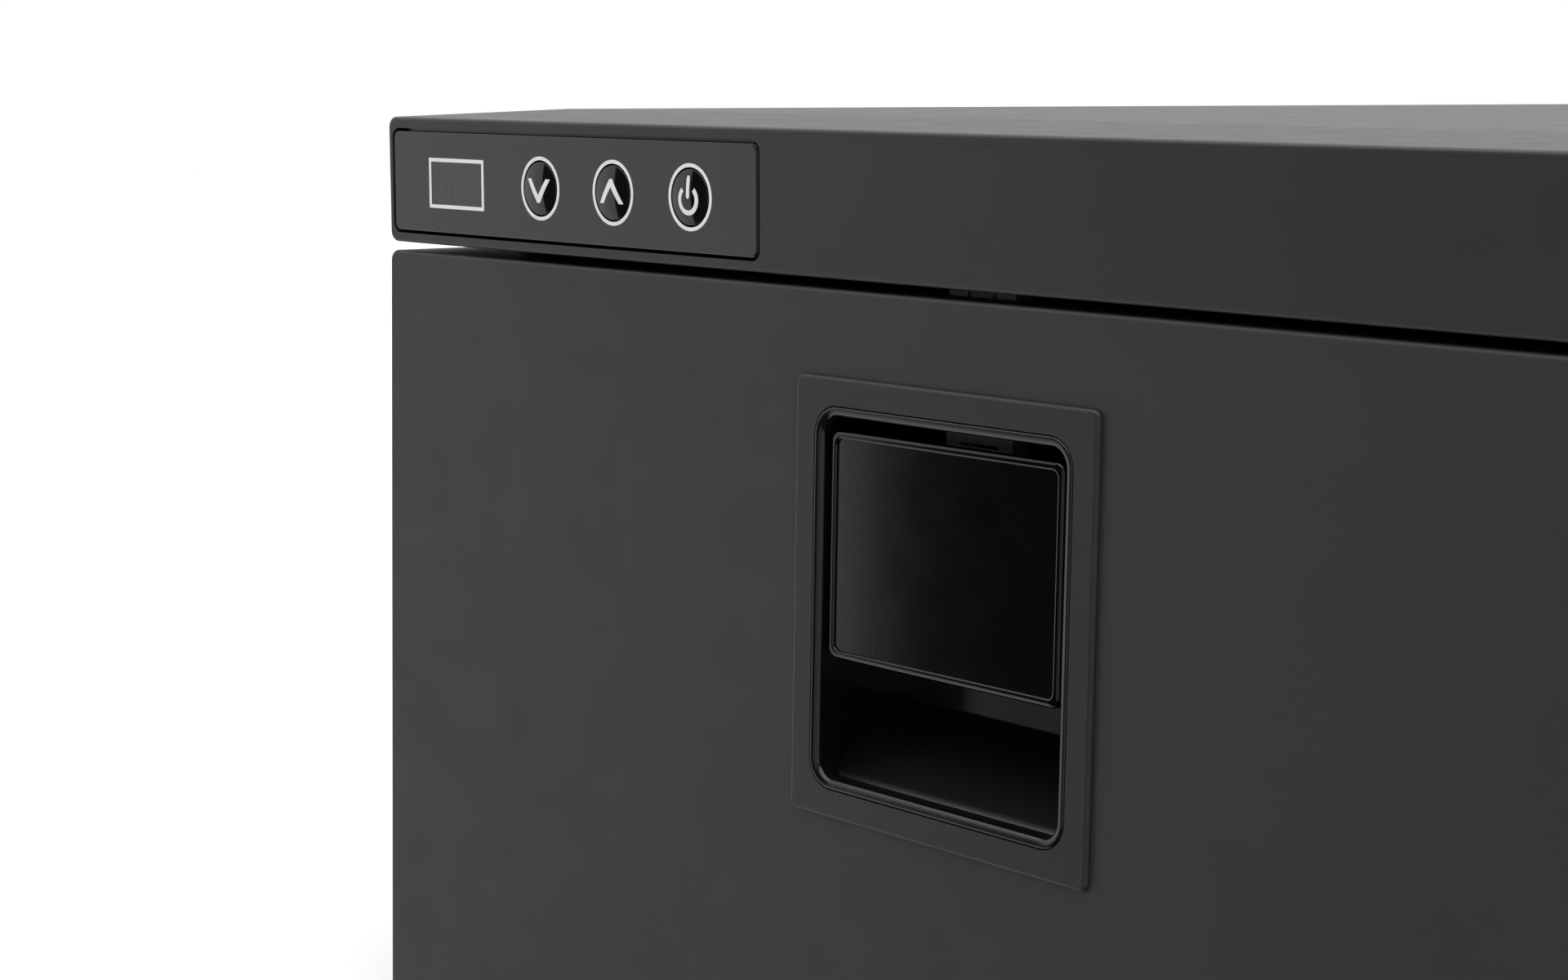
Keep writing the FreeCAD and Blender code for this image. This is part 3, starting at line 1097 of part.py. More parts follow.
def make_fan():
    """Axial fan that draws air through the condenser: square frame with a spoked motor mount, and the rotor."""
    origin = (FAN_CENTRE_X, f"{FRONT} + {FAN_FRONT}", FAN_CENTRE_Z)
    half = "(fan_size / 2)"
    body = new_body("fan_frame", origin)
    pad(body, "XZ", "0", "fan_depth", box(f"-{half}", f"-{half}", half, half, "6"))
    pocket(body, "XZ", "0", "fan_depth", disc("0", "0", "fan_bore"),
           *[disc(f"{a}({half} - fan_screw_inset)", f"{b}({half} - fan_screw_inset)", "fan_screw")
             for a in ("-", "") for b in ("-", "")])
    pad(body, "XZ", "0", "motor_plate", disc("0", "0", "fan_hub"))
    reach, spoke = "(fan_bore + 0.5)", "(spoke_width / 2)"
    pad(body, "XZ", "0", "spoke_plate", box(f"-{spoke}", f"-{reach}", spoke, reach))
    pad(body, "XZ", "0", "spoke_plate", box(f"-{reach}", f"-{spoke}", reach, spoke))

    body = new_body("fan_rotor", origin)
    pad(body, "XZ", "motor_plate + rotor_gap", "fan_depth - 1", disc("0", "0", "fan_hub"))
    fillet(body, "2", lambda edge: lies_at(edge, "y", "fan_depth - 1"))
    blade = pad(body, "XY", "fan_hub - 3", "fan_bore - fan_tip_gap", outline(
        ("-blade_reach", "6"), ("-blade_reach + blade_plate", "6"),
        ("blade_reach + blade_plate", "fan_depth - 3"), ("blade_reach", "fan_depth - 3")))
    pattern = body.newObject("PartDesign::PolarPattern", "fan_pattern")
    pattern.Originals = [blade]
    line = next(item for item in body.Origin.OriginFeatures if item.Role == "Y_Axis")
    pattern.Axis = (line, [""])
    pattern.Angle = 360
    pattern.Occurrences = 7
    body.Tip = pattern
    doc.recompute()


def make_refrigerant_lines():
    """Drier, and the tubes between evaporator, compressor and condenser."""
    body = new_body("filter_drier")
    pad(body, "XY", "drier_low", "drier_top", disc("drier_across", "drier_place", "drier_radius"))
    fillet(body, "5", lambda edge: lies_at(edge, "z", "drier_low") or lies_at(edge, "z", "drier_top"))
    middle = "(box_depth + sheet + coil_setback + coil_plate / 2)"
    top_pass, low_pass = coil_height_at(5), coil_height_at(0)
    can_top = f"({BASE_TOP} + compressor_lift + compressor_height)"
    can_y = "(box_depth + sheet + machine_line)"
    tube("suction_tube",
         ("port_across", "box_depth - 6", "port_up"), ("port_across", "box_depth + 34", "port_up"),
         ("port_across - 40", "box_depth + 56", "port_up - 2"),
         ("-compressor_left + 20", can_y, f"{can_top} + 41.5"), ("-compressor_left + 20", can_y, can_top))
    tube("discharge_tube", ("-compressor_left - 16", can_y, can_top),
         ("-compressor_left - 16", can_y, f"{can_top} + 30"),
         ("-compressor_left + 30", f"{can_y} + 26", f"{can_top} + 44"),
         ("-20", f"{can_y} + 20", f"{can_top} + 34"), ("coil_left - 34", middle, f"{top_pass} + 6"),
         ("coil_left - 20", middle, top_pass), ("coil_left - 4", middle, top_pass))
    tube("liquid_tube", ("coil_left - 4", middle, low_pass), ("coil_left - 26", middle, low_pass),
         ("drier_across", f"{middle} - 30", low_pass), ("drier_across", "drier_place", "drier_low - 26"),
         ("drier_across", "drier_place", "drier_low"))


make_outer_wrap()
make_base_pan()
make_base_fittings()
make_rear_grille()
make_power_inlet()
make_bulkhead()
make_insulated_box()
make_evaporator()
make_control_strip()
make_control_panel()
make_buttons()
make_drawer_front()
make_bin()
make_rails()
make_latch_bezel()
make_latch_cup()
make_latch_paddle()
make_latch_bolt()
make_latch_spring()
make_compressor()
make_condenser()
make_fan()
make_refrigerant_lines()
doc.recompute()

for item in doc.Objects:
    if "Invalid" in item.State or "Error" in item.State:
        raise RuntimeError(f"{item.Label} did not build: {item.State}")
for piece in pieces:
    if piece.Shape.isNull() or not piece.Shape.isValid() or not piece.Shape.Solids:
        raise RuntimeError(f"{piece.Label} has no valid solid")

os.makedirs("parts", exist_ok=True)
for piece in pieces:
    piece.Shape.exportStep(os.path.join("parts", f"{piece.Label}.step"))
    span = piece.Shape.BoundBox
    print(f"{piece.Label:24s} solids {len(piece.Shape.Solids):3d}  x {span.XMin:8.2f} {span.XMax:8.2f}"
          f"  y {span.YMin:8.2f} {span.YMax:8.2f}  z {span.ZMin:8.2f} {span.ZMax:8.2f}")
print(len(pieces), "nodes")
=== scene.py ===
"""Looks for the drawer refrigerator: domed buttons, print, display digits, finishes, light and camera."""
import json
import math

import bmesh
import bpy
from mathutils import Matrix, Vector


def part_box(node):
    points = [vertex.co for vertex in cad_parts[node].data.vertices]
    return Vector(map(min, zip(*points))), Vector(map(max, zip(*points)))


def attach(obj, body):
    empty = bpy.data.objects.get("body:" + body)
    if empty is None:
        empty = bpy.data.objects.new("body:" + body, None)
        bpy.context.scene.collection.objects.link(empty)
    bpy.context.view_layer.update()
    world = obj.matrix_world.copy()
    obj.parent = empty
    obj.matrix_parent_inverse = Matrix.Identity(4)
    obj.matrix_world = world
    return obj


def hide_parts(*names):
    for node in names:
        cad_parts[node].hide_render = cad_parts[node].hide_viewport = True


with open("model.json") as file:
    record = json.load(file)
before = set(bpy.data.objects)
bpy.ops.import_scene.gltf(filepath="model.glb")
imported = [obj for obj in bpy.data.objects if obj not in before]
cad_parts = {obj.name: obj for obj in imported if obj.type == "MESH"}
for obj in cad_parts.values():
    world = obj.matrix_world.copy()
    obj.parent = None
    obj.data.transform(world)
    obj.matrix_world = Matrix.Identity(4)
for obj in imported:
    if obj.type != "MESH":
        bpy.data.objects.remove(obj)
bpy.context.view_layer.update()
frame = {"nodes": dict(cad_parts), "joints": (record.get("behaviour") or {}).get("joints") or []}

MM = 0.001
scene = bpy.context.scene
nodes = frame["nodes"]
joints = {joint["name"]: joint for joint in frame["joints"]}

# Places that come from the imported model.
drawer_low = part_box("drawer_shell")[0]
strip_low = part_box("control_strip")[0]
LEFT = drawer_low.x
FRONT = drawer_low.y
STRIP_BOTTOM = strip_low.z
LEAN = math.asin(joints["button_up_press"]["axis"][2])

# ---------------------------------------------------------------- camera

CAMERA_PLACE = Vector((710.3, -475.2, 48.4)) * MM
CAMERA_YAW = math.radians(53.17)
CAMERA_PITCH = math.radians(7.373)
CAMERA_ROLL = math.radians(0.316)
LENS = 70.14
SHIFT_X = 0.1481
SHIFT_Y = -0.0178


def make_camera():
    """Camera beside the right end of the drawer front, a little above the control strip."""
    ahead = Vector((-math.sin(CAMERA_YAW) * math.cos(CAMERA_PITCH),
                    math.cos(CAMERA_YAW) * math.cos(CAMERA_PITCH),
                    -math.sin(CAMERA_PITCH)))
    across = Vector((math.cos(CAMERA_YAW), math.sin(CAMERA_YAW), 0))
    up = across.cross(ahead)
    right = across * math.cos(CAMERA_ROLL) + up * math.sin(CAMERA_ROLL)
    top = up * math.cos(CAMERA_ROLL) - across * math.sin(CAMERA_ROLL)
    data = bpy.data.cameras.new("camera")
    data.sensor_width = 36
    data.lens = LENS
    data.shift_x = SHIFT_X
    data.shift_y = SHIFT_Y
    data.clip_start = 0.01
    camera = bpy.data.objects.new("camera", data)
    turn = Matrix((right, top, -ahead)).transposed().to_4x4()
    camera.matrix_world = Matrix.Translation(Vector((LEFT, FRONT, STRIP_BOTTOM)) + CAMERA_PLACE) @ turn
    scene.collection.objects.link(camera)
    scene.camera = camera


# ---------------------------------------------------------------- materials

def node_material(name):
    """An empty node material and its main shader."""
    material = bpy.data.materials.new(name)
    material.use_nodes = True
    tree = material.node_tree
    shader = tree.nodes["Principled BSDF"]
    return material, tree, shader


def texture(tree, kind, scale, detail=2.0, roughness=0.5, stretch=None):
    """A procedural texture in metres of object space, stretched along its axes where asked."""
    place = tree.nodes.new("ShaderNodeTexCoord")
    mapping = tree.nodes.new("ShaderNodeMapping")
    if stretch:
        mapping.inputs["Scale"].default_value = stretch
    tree.links.new(place.outputs["Object"], mapping.inputs["Vector"])
    node = tree.nodes.new(kind)
    node.inputs["Scale"].default_value = scale
    if "Detail" in node.inputs:
        node.inputs["Detail"].default_value = detail
    if "Roughness" in node.inputs:
        node.inputs["Roughness"].default_value = roughness
    tree.links.new(mapping.outputs["Vector"], node.inputs["Vector"])
    return node.outputs["Fac"] if "Fac" in node.outputs else node.outputs["Distance"]


def vary_colour(tree, shader, factor, dark, light):
    ramp = tree.nodes.new("ShaderNodeValToRGB")
    ramp.color_ramp.elements[0].position = 0.3
    ramp.color_ramp.elements[1].position = 0.7
    ramp.color_ramp.elements[0].color = (*dark, 1)
    ramp.color_ramp.elements[1].color = (*light, 1)
    tree.links.new(factor, ramp.inputs["Fac"])
    tree.links.new(ramp.outputs["Color"], shader.inputs["Base Color"])


def vary_roughness(tree, shader, factor, low, high):
    spread = tree.nodes.new("ShaderNodeMapRange")
    spread.inputs["From Min"].default_value = 0.3
    spread.inputs["From Max"].default_value = 0.7
    spread.inputs["To Min"].default_value = low
    spread.inputs["To Max"].default_value = high
    tree.links.new(factor, spread.inputs["Value"])
    tree.links.new(spread.outputs["Result"], shader.inputs["Roughness"])


def add_bump(tree, shader, factor, strength, depth, before=None):
    bump = tree.nodes.new("ShaderNodeBump")
    bump.inputs["Strength"].default_value = strength
    bump.inputs["Distance"].default_value = depth
    tree.links.new(factor, bump.inputs["Height"])
    if before:
        tree.links.new(before.outputs["Normal"], bump.inputs["Normal"])
    tree.links.new(bump.outputs["Normal"], shader.inputs["Normal"])
    return bump


def ramp_between(tree, factor, low, high):
    """0 below low, 1 above high, smooth between them."""
    spread = tree.nodes.new("ShaderNodeMapRange")
    spread.interpolation_type = "SMOOTHSTEP"
    spread.inputs["From Min"].default_value = low
    spread.inputs["From Max"].default_value = high
    tree.links.new(factor, spread.inputs["Value"])
    return spread.outputs["Result"]


def combine(tree, operation, one, other):
    node = tree.nodes.new("ShaderNodeMath")
    node.operation = operation
    for socket, value in zip(node.inputs, (one, other)):
        if isinstance(value, float):
            socket.default_value = value
        else:
            tree.links.new(value, socket)
    return node.outputs[0]


def along(tree, direction):
    """How far the light's direction points along a vector."""
    place = tree.nodes.new("ShaderNodeTexCoord")
    node = tree.nodes.new("ShaderNodeVectorMath")
    node.operation = "DOT_PRODUCT"
    node.inputs[1].default_value = direction
    tree.links.new(place.outputs["Generated"], node.inputs[0])
    return node.outputs["Value"]


def plastic(name, dark, light, low, high, grain, depth, strength=0.6, mottle=30.0, ior=1.46):
    """Moulded plastic: spark-eroded grain, slight mottling in colour and sheen."""
    material, tree, shader = node_material(name)
    patches = texture(tree, "ShaderNodeTexNoise", mottle, 3.0)
    vary_colour(tree, shader, patches, dark, light)
    vary_roughness(tree, shader, texture(tree, "ShaderNodeTexNoise", mottle * 3, 4.0), low, high)
    shader.inputs["IOR"].default_value = ior
    add_bump(tree, shader, texture(tree, "ShaderNodeTexNoise", grain, 2.0), strength, depth)
    return material


def grey(value):
    return (value, value * 1.01, value * 1.0)


def metal(name, colour, low, high, scale, stretch, depth=2e-6):
    """Plated or drawn metal with a direction in its grain."""
    material, tree, shader = node_material(name)
    shader.inputs["Metallic"].default_value = 1.0
    light = tuple(min(1.0, channel * 1.08) for channel in colour)
    dark = tuple(channel * 0.86 for channel in colour)
    grain = texture(tree, "ShaderNodeTexNoise", scale, 3.0, 0.6, stretch)
    vary_colour(tree, shader, grain, dark, light)
    vary_roughness(tree, shader, grain, low, high)
    add_bump(tree, shader, grain, 0.4, depth)
    return material


# Moulded and coated finishes: dark and light colour, roughness from and to, grain, grain depth and the rest
# of what plastic() takes by name.
PLASTICS = {
    "satin_black": dict(dark=grey(0.020), light=grey(0.022), low=0.44, high=0.50,
                        grain=2600, depth=1.2e-5, ior=1.5),
    "drawer_black": dict(dark=grey(0.0255), light=grey(0.028), low=0.47, high=0.54,
                         grain=2600, depth=1.2e-5),
    "bezel_black": dict(dark=grey(0.019), light=grey(0.021), low=0.38, high=0.46,
                        grain=2200, depth=1.6e-5),
    "carrier_black": dict(dark=grey(0.0022), light=grey(0.003), low=0.20, high=0.27,
                          grain=1800, depth=0.6e-5),
    "paddle_black": dict(dark=grey(0.0004), light=grey(0.0006), low=0.075, high=0.095,
                         grain=1400, depth=0.3e-5, ior=1.5),
    "panel_gloss": dict(dark=grey(0.0035), light=grey(0.004), low=0.03, high=0.05,
                        grain=500, depth=1e-6, strength=0.2, ior=1.5),
    "button_gloss": dict(dark=grey(0.003), light=grey(0.0035), low=0.035, high=0.06,
                         grain=500, depth=1e-6, strength=0.2),
    "white_print": dict(dark=grey(0.72), light=grey(0.78), low=0.38, high=0.46,
                        grain=3000, depth=2e-6, strength=0.3),
    "powder_coat": dict(dark=grey(0.022), light=grey(0.025), low=0.42, high=0.50,
                        grain=1500, depth=2.2e-5, ior=1.5),
    "liner_grey": dict(dark=grey(0.55), light=grey(0.58), low=0.28, high=0.36,
                       grain=700, depth=1e-5, strength=0.3),
    "bolt_grey": dict(dark=grey(0.10), light=grey(0.13), low=0.35, high=0.5,
                      grain=1500, depth=1.5e-5),
    "rubber": dict(dark=grey(0.016), light=grey(0.022), low=0.6, high=0.75,
                   grain=2500, depth=2.5e-5),
    "gasket_grey": dict(dark=grey(0.028), light=grey(0.036), low=0.5, high=0.62,
                        grain=2500, depth=1.5e-5),
    "digit": dict(dark=(0.085, 0.075, 0.058), light=(0.095, 0.084, 0.066), low=0.4, high=0.5,
                  grain=900, depth=1e-6, strength=0.2),
    "display_back": dict(dark=(0.008, 0.0075, 0.0065), light=(0.010, 0.0095, 0.008), low=0.4, high=0.5,
                         grain=900, depth=1e-6),
}


def make_materials():
    """One material for each finish."""
    finish = {name: plastic(name, **values) for name, values in PLASTICS.items()}
    finish["cup_black"] = make_cup_material()
    finish["zinc"] = metal("zinc", (0.60, 0.61, 0.62), 0.26, 0.42, 120, (1, 1, 1))
    finish["steel_pin"] = metal("steel_pin", (0.56, 0.56, 0.57), 0.2, 0.34, 900, (0.1, 1, 1))
    finish["aluminium"] = metal("aluminium", (0.80, 0.81, 0.82), 0.28, 0.45, 700, (0.06, 1, 1))
    finish["copper"] = metal("copper", (0.78, 0.42, 0.28), 0.22, 0.4, 500, (1, 1, 1))
    finish["foam"] = make_foam()
    finish["board"] = make_board()
    finish["window"] = make_window_material()
    return finish


def make_foam():
    material, tree, shader = node_material("foam")
    cells = texture(tree, "ShaderNodeTexVoronoi", 700)
    vary_colour(tree, shader, cells, (0.72, 0.62, 0.40), (0.80, 0.72, 0.52))
    shader.inputs["Roughness"].default_value = 0.9
    add_bump(tree, shader, cells, 0.8, 3e-4)
    return material


def make_board():
    """Solder mask with darker tracks under it."""
    material, tree, shader = node_material("board")
    tracks = texture(tree, "ShaderNodeTexVoronoi", 260)
    vary_colour(tree, shader, tracks, (0.012, 0.085, 0.035), (0.02, 0.13, 0.055))
    vary_roughness(tree, shader, tracks, 0.25, 0.4)
    add_bump(tree, shader, tracks, 0.3, 3e-5)
    return material


def make_window_material():
    """Smoked window of the display."""
    material, tree, shader = node_material("window")
    shader.inputs["Base Color"].default_value = (0.30, 0.285, 0.26, 1)
    shader.inputs["Transmission Weight"].default_value = 1.0
    shader.inputs["IOR"].default_value = 1.46
    haze = texture(tree, "ShaderNodeTexNoise", 200, 2.0)
    vary_roughness(tree, shader, haze, 0.03, 0.06)
    return material


# The sloping floor of the recess gets painted shade: its reflection is turned down there, and its roughness
# is raised.
CUP_FLOOR_START = 2.5 * MM
CUP_FLOOR_FADE = 2 * MM
CUP_FLOOR_TOP = -100.6 * MM
CUP_EDGE_FADE = 0.6 * MM
CUP_SHEEN = 0.56
CUP_FLOOR_PAINTED_SHADE = 0.50
CUP_ROUGHNESS = 0.17
CUP_ROUGHNESS_GAIN = 0.3
CUP_WEAR = 0.10


def make_cup_material():
    """Recess plastic with painted shade on the sloping floor, where its reflection is turned down and its
    roughness is raised.
    """
    material, tree, shader = node_material("cup_black")
    patches = texture(tree, "ShaderNodeTexNoise", 30, 3.0)
    vary_colour(tree, shader, patches, grey(0.003), grey(0.004))
    add_bump(tree, shader, texture(tree, "ShaderNodeTexNoise", 1800, 2.0), 0.6, 0.6e-5)
    corner = nodes["latch_cup"].matrix_world.inverted() @ Vector(
        (0, FRONT + CUP_FLOOR_START, STRIP_BOTTOM + CUP_FLOOR_TOP))
    place = tree.nodes.new("ShaderNodeTexCoord")
    axes = tree.nodes.new("ShaderNodeSeparateXYZ")
    tree.links.new(place.outputs["Object"], axes.inputs[0])
    inside = ramp_between(tree, axes.outputs["Y"], corner.y, corner.y + CUP_FLOOR_FADE)
    above = ramp_between(tree, axes.outputs["Z"], corner.z, corner.z + CUP_EDGE_FADE)
    below = combine(tree, "SUBTRACT", 1.0, above)
    # Mask of the sloping recess floor, where the painted shade goes.
    floor = combine(tree, "MULTIPLY", inside, below)
    # Painted shade: less reflection on the recess floor.
    sheen = combine(tree, "SUBTRACT", CUP_SHEEN, combine(tree, "MULTIPLY", floor, CUP_FLOOR_PAINTED_SHADE))
    tree.links.new(sheen, shader.inputs["Specular IOR Level"])
    worn = combine(tree, "MULTIPLY", texture(tree, "ShaderNodeTexNoise", 90, 4.0), CUP_WEAR)
    dull = combine(tree, "ADD", combine(tree, "MULTIPLY", floor, CUP_ROUGHNESS_GAIN), CUP_ROUGHNESS)
    tree.links.new(combine(tree, "ADD", dull, worn), shader.inputs["Roughness"])
    return material


FINISH_OF_NODE = {
    "satin_black": ("control_strip",),
    "drawer_black": ("drawer_shell", "front_frame"),
    "bezel_black": ("latch_bezel",),
    "cup_black": ("latch_cup",),
    "carrier_black": ("bolt_guide", "panel_carrier"),
    "paddle_black": ("latch_paddle",),
    "panel_gloss": ("control_panel",),
    "button_gloss": ("button_down", "button_up", "button_power"),
    "powder_coat": ("outer_wrap", "base_pan", "rear_grille", "bulkhead", "compressor",
                    "compressor_controller", "fan_frame", "fan_rotor", "fuse_cap", "power_inlet"),
    "liner_grey": ("inner_liner", "drawer_inner_panel", "storage_bin", "bin_divider"),
    "bolt_grey": ("latch_bolt",),
    "rubber": ("feet", "tube_grommet", "compressor_grommets", "temperature_sensor", "tact_switches"),
    "gasket_grey": ("door_gasket",),
    "zinc": ("mounting_inserts", "rear_screws", "strike", "outer_rail_left", "outer_rail_right",
             "middle_rail_left", "middle_rail_right", "inner_rail_left", "inner_rail_right",
             "side_plate_left", "side_plate_right"),
    "steel_pin": ("latch_pin", "latch_spring"),
    "aluminium": ("evaporator_plate", "condenser_fins"),
    "copper": ("condenser_tube", "filter_drier", "suction_tube", "discharge_tube", "liquid_tube"),
    "foam": ("cabinet_foam", "drawer_foam"),
    "board": ("control_board", "board_spacers"),
    "window": ("display_window",),
    "display_back": ("display_module",),
}


def dress_nodes(finish):
    """Gives every CAD node its finish."""
    for name, members in FINISH_OF_NODE.items():
        for member in members:
            mesh = nodes[member].data
            mesh.materials.clear()
            mesh.materials.append(finish[name])


# ---------------------------------------------------------------- print on the control panel

PRINT_RISE = 0.05 * MM
PRINT_SINK = 0.02 * MM
RING_INNER = 7.36 * MM
RING_OUTER = 8.29 * MM
BORDER = 1.0 * MM


def new_piece(name, bm, material, body, smooth=False):
    """Turns a bmesh into a piece that rides on a body."""
    bmesh.ops.recalc_face_normals(bm, faces=bm.faces)
    mesh = bpy.data.meshes.new(name)
    bm.to_mesh(mesh)
    bm.free()
    mesh.materials.append(material)
    if smooth:
        mesh.shade_smooth()
    piece = bpy.data.objects.new(name, mesh)
    scene.collection.objects.link(piece)
    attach(piece, body)
    return piece


def on_face(across, up, out):
    """A point on the leaning face, from the left end, the strip's lower edge and the face itself."""
    return Vector((LEFT + across, FRONT - up * math.sin(LEAN) - out * math.cos(LEAN),
                   STRIP_BOTTOM + up * math.cos(LEAN) - out * math.sin(LEAN)))


def face_place(point):
    """How far a point is from the left end, and up the leaning face from the strip's lower edge."""
    up = (point.z - STRIP_BOTTOM) * math.cos(LEAN) - (point.y - FRONT) * math.sin(LEAN)
    return point.x - LEFT, up


def middle_of(node):
    low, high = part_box(node)
    return face_place((low + high) / 2)


def slab(bm, loops, surface, closed=True):
    """A thin printed layer between rows of face points; surface is the height under each point."""
    layers = []
    for lift in (-PRINT_SINK, PRINT_RISE):
        layers.append([[bm.verts.new(on_face(x, z, surface(x, z) + lift)) for x, z in loop]
                       for loop in loops])
    back, front = layers
    count = len(loops[0])
    for i in range(count if closed else count - 1):
        j = (i + 1) % count
        for under, over in ((back[0], front[0]), (back[-1], front[-1])):
            bm.faces.new((under[i], under[j], over[j], over[i]))
        for layer in layers:
            for inner, outer in zip(layer, layer[1:]):
                bm.faces.new((inner[i], inner[j], outer[j], outer[i]))
    if not closed:
        for i in (0, count - 1):
            for k in range(len(loops) - 1):
                bm.faces.new((back[k][i], back[k + 1][i], front[k + 1][i], front[k][i]))


def circle(centre, radius, count=96):
    turns = [2 * math.pi * i / count for i in range(count)]
    return [(centre[0] + radius * math.cos(turn), centre[1] + radius * math.sin(turn)) for turn in turns]


def flat(x, z):
    return 0.0


def between(start, end, count=10):
    """Evenly spaced points of a straight run."""
    return [(start[0] + (end[0] - start[0]) * i / count, start[1] + (end[1] - start[1]) * i / count)
            for i in range(count + 1)]


def make_rings(finish):
    """White rings round the buttons and the white border round the display window."""
    for name in BUTTON_NAMES:
        centre = middle_of(f"button_{name}")
        bm = bmesh.new()
        slab(bm, [circle(centre, RING_INNER), circle(centre, RING_OUTER)], flat)
        new_piece(f"ring_{name}", bm, finish["white_print"], "cabinet")
    low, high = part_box("display_window")
    x0, z0 = face_place(low)
    x1, z1 = face_place(high)
    bm = bmesh.new()
    loops = []
    for grow in (0.0, BORDER):
        loops.append([(x0 - grow, z0 - grow), (x1 + grow, z0 - grow),
                      (x1 + grow, z1 + grow), (x0 - grow, z1 + grow)])
    slab(bm, loops, flat)
    new_piece("display_border", bm, finish["white_print"], "cabinet")


DOME_CROWN = 0.78 * MM
DOME_EDGE = 6.6 * MM
DOME_FALL = 0.62 * MM
DOME_RADIUS = (DOME_EDGE ** 2 + DOME_FALL ** 2) / (2 * DOME_FALL)
DOME_ROLL = 0.42 * MM
# Skirt, flange and stem behind the dome: distance from the middle and height, in mm.
BUTTON_STEPS = ((7.02, -2.8), (8.25, -2.8), (8.25, -4.0), (7.02, -4.0),
                (7.02, -5.2), (1.6, -5.2), (1.6, -7.0), (0.0, -7.0))
DOME_ROWS = 16
ROLL_ROWS = 8
BUTTON_SIDES = 96
CREASE = math.radians(40)
BUTTON_NAMES = ("down", "up", "power")


def dome_height(distance):
    """Height of the button's dome above the panel at a distance from its middle."""
    return DOME_CROWN - DOME_RADIUS + math.sqrt(DOME_RADIUS ** 2 - distance ** 2)


def button_profile():
    """Half section of a button from the middle of its dome to the end of its stem: distance and height."""
    profile = []
    for i in range(DOME_ROWS + 1):
        distance = DOME_EDGE * i / DOME_ROWS
        profile.append((distance, dome_height(distance)))
    slope = math.asin(DOME_EDGE / DOME_RADIUS)
    edge_height = dome_height(DOME_EDGE)
    for i in range(1, ROLL_ROWS + 1):
        turn = slope + (math.pi / 2 - slope) * i / ROLL_ROWS
        profile.append((DOME_EDGE + DOME_ROLL * (math.sin(turn) - math.sin(slope)),
                        edge_height - DOME_ROLL * (math.cos(slope) - math.cos(turn))))
    return profile + [(radius * MM, height * MM) for radius, height in BUTTON_STEPS]


def turned(bm, centre):
    """A button's outer surface, turned about the middle of its dome."""
    rows = []
    for radius, height in button_profile():
        ring = [centre] if radius == 0 else circle(centre, radius, BUTTON_SIDES)
        rows.append([bm.verts.new(on_face(x, z, height)) for x, z in ring])
    for one, other in zip(rows, rows[1:]):
        for i in range(BUTTON_SIDES):
            j = (i + 1) % BUTTON_SIDES
            corners = [one[i % len(one)], one[j % len(one)], other[j % len(other)], other[i % len(other)]]
            bm.faces.new(list(dict.fromkeys(corners)))


def make_buttons(finish):
    """Turned buttons with shallow polished domes, and the white icons printed on them."""
    for name in BUTTON_NAMES:
        x, z = middle_of(f"button_{name}")
        bm = bmesh.new()
        turned(bm, (x, z))
        cap = new_piece(f"button_{name}_cap", bm, finish["button_gloss"], f"button_{name}",
                        smooth=True)
        cap.modifiers.new("crease", "EDGE_SPLIT").split_angle = CREASE
        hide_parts(f"button_{name}")
        bm = bmesh.new()
        for rows in ICONS[name]():
            rows = [[(x + px * MM, z + pz * MM) for px, pz in row] for row in rows]
            slab(bm, rows, lambda px, pz: dome_height(math.hypot(px - x, pz - z)), closed=False)
        new_piece(f"icon_{name}", bm, finish["white_print"], f"button_{name}")


# Icon sizes in mm, from the middle of the button.
ARROW_REACH = 4.75
ARROW_INSIDE = 3.1
ARROW_BLUNT = 0.55
ARROW_STROKE = 2.0
TIP_WIDTH = 0.001
TIP_STEPS = 4
POWER_OUTER = 3.8
POWER_INNER = 2.6
POWER_DROP = -0.6
POWER_OPENING = 130
POWER_SWEEP = 280
POWER_STEPS = 40
BAR_HALF = 0.58
BAR_FOOT = -0.3
BAR_LENGTH = 5.6
BAR_STEPS = 10
BAR_TAPER = 0.5


def arrow(tip, foot):
    """A chevron as strips between their outer and inner edges; tip and foot are heights in mm."""
    fall = ARROW_STROKE if tip > foot else -ARROW_STROKE
    strips = []
    for side in (-1, 1):
        outer = between((side * ARROW_REACH, foot), (side * ARROW_BLUNT, tip))
        inner = between((side * ARROW_INSIDE, foot), (0, tip - fall))
        strips.append([outer, inner])
    blunt = between((-ARROW_BLUNT, tip), (ARROW_BLUNT, tip), TIP_STEPS)
    strips.append([blunt, between((0, tip - fall), (TIP_WIDTH, tip - fall), TIP_STEPS)])
    return strips


def power_sign():
    """A ring open at the top and a bar standing in the opening."""
    turns = [math.radians(POWER_OPENING + POWER_SWEEP * i / POWER_STEPS) for i in range(POWER_STEPS + 1)]
    ring = [[(radius * math.cos(turn), POWER_DROP + radius * math.sin(turn)) for turn in turns]
            for radius in (POWER_OUTER, POWER_INNER)]
    heights = [BAR_FOOT + BAR_LENGTH * i / BAR_STEPS for i in range(BAR_STEPS + 1)]
    widths = [BAR_HALF * (BAR_TAPER if i in (0, BAR_STEPS) else 1) for i in range(BAR_STEPS + 1)]
    bar = [[(side * width, height) for width, height in zip(widths, heights)] for side in (-1, 1)]
    return [ring, bar]


ICONS = {"down": lambda: arrow(-3.7, 2.5), "up": lambda: arrow(3.5, -2.7), "power": power_sign}


# ---------------------------------------------------------------- digits behind the window

DIGIT_HEIGHT = 7.6 * MM
DIGIT_WIDTH = 4.1 * MM
DIGIT_PITCH = 6.9 * MM
DIGIT_SLANT = 0.14
SEGMENT = 0.85 * MM
SEGMENT_GAP = 0.6
SEGMENT_POINT = 0.4
DIGIT_DEPTH = -2.5 * MM
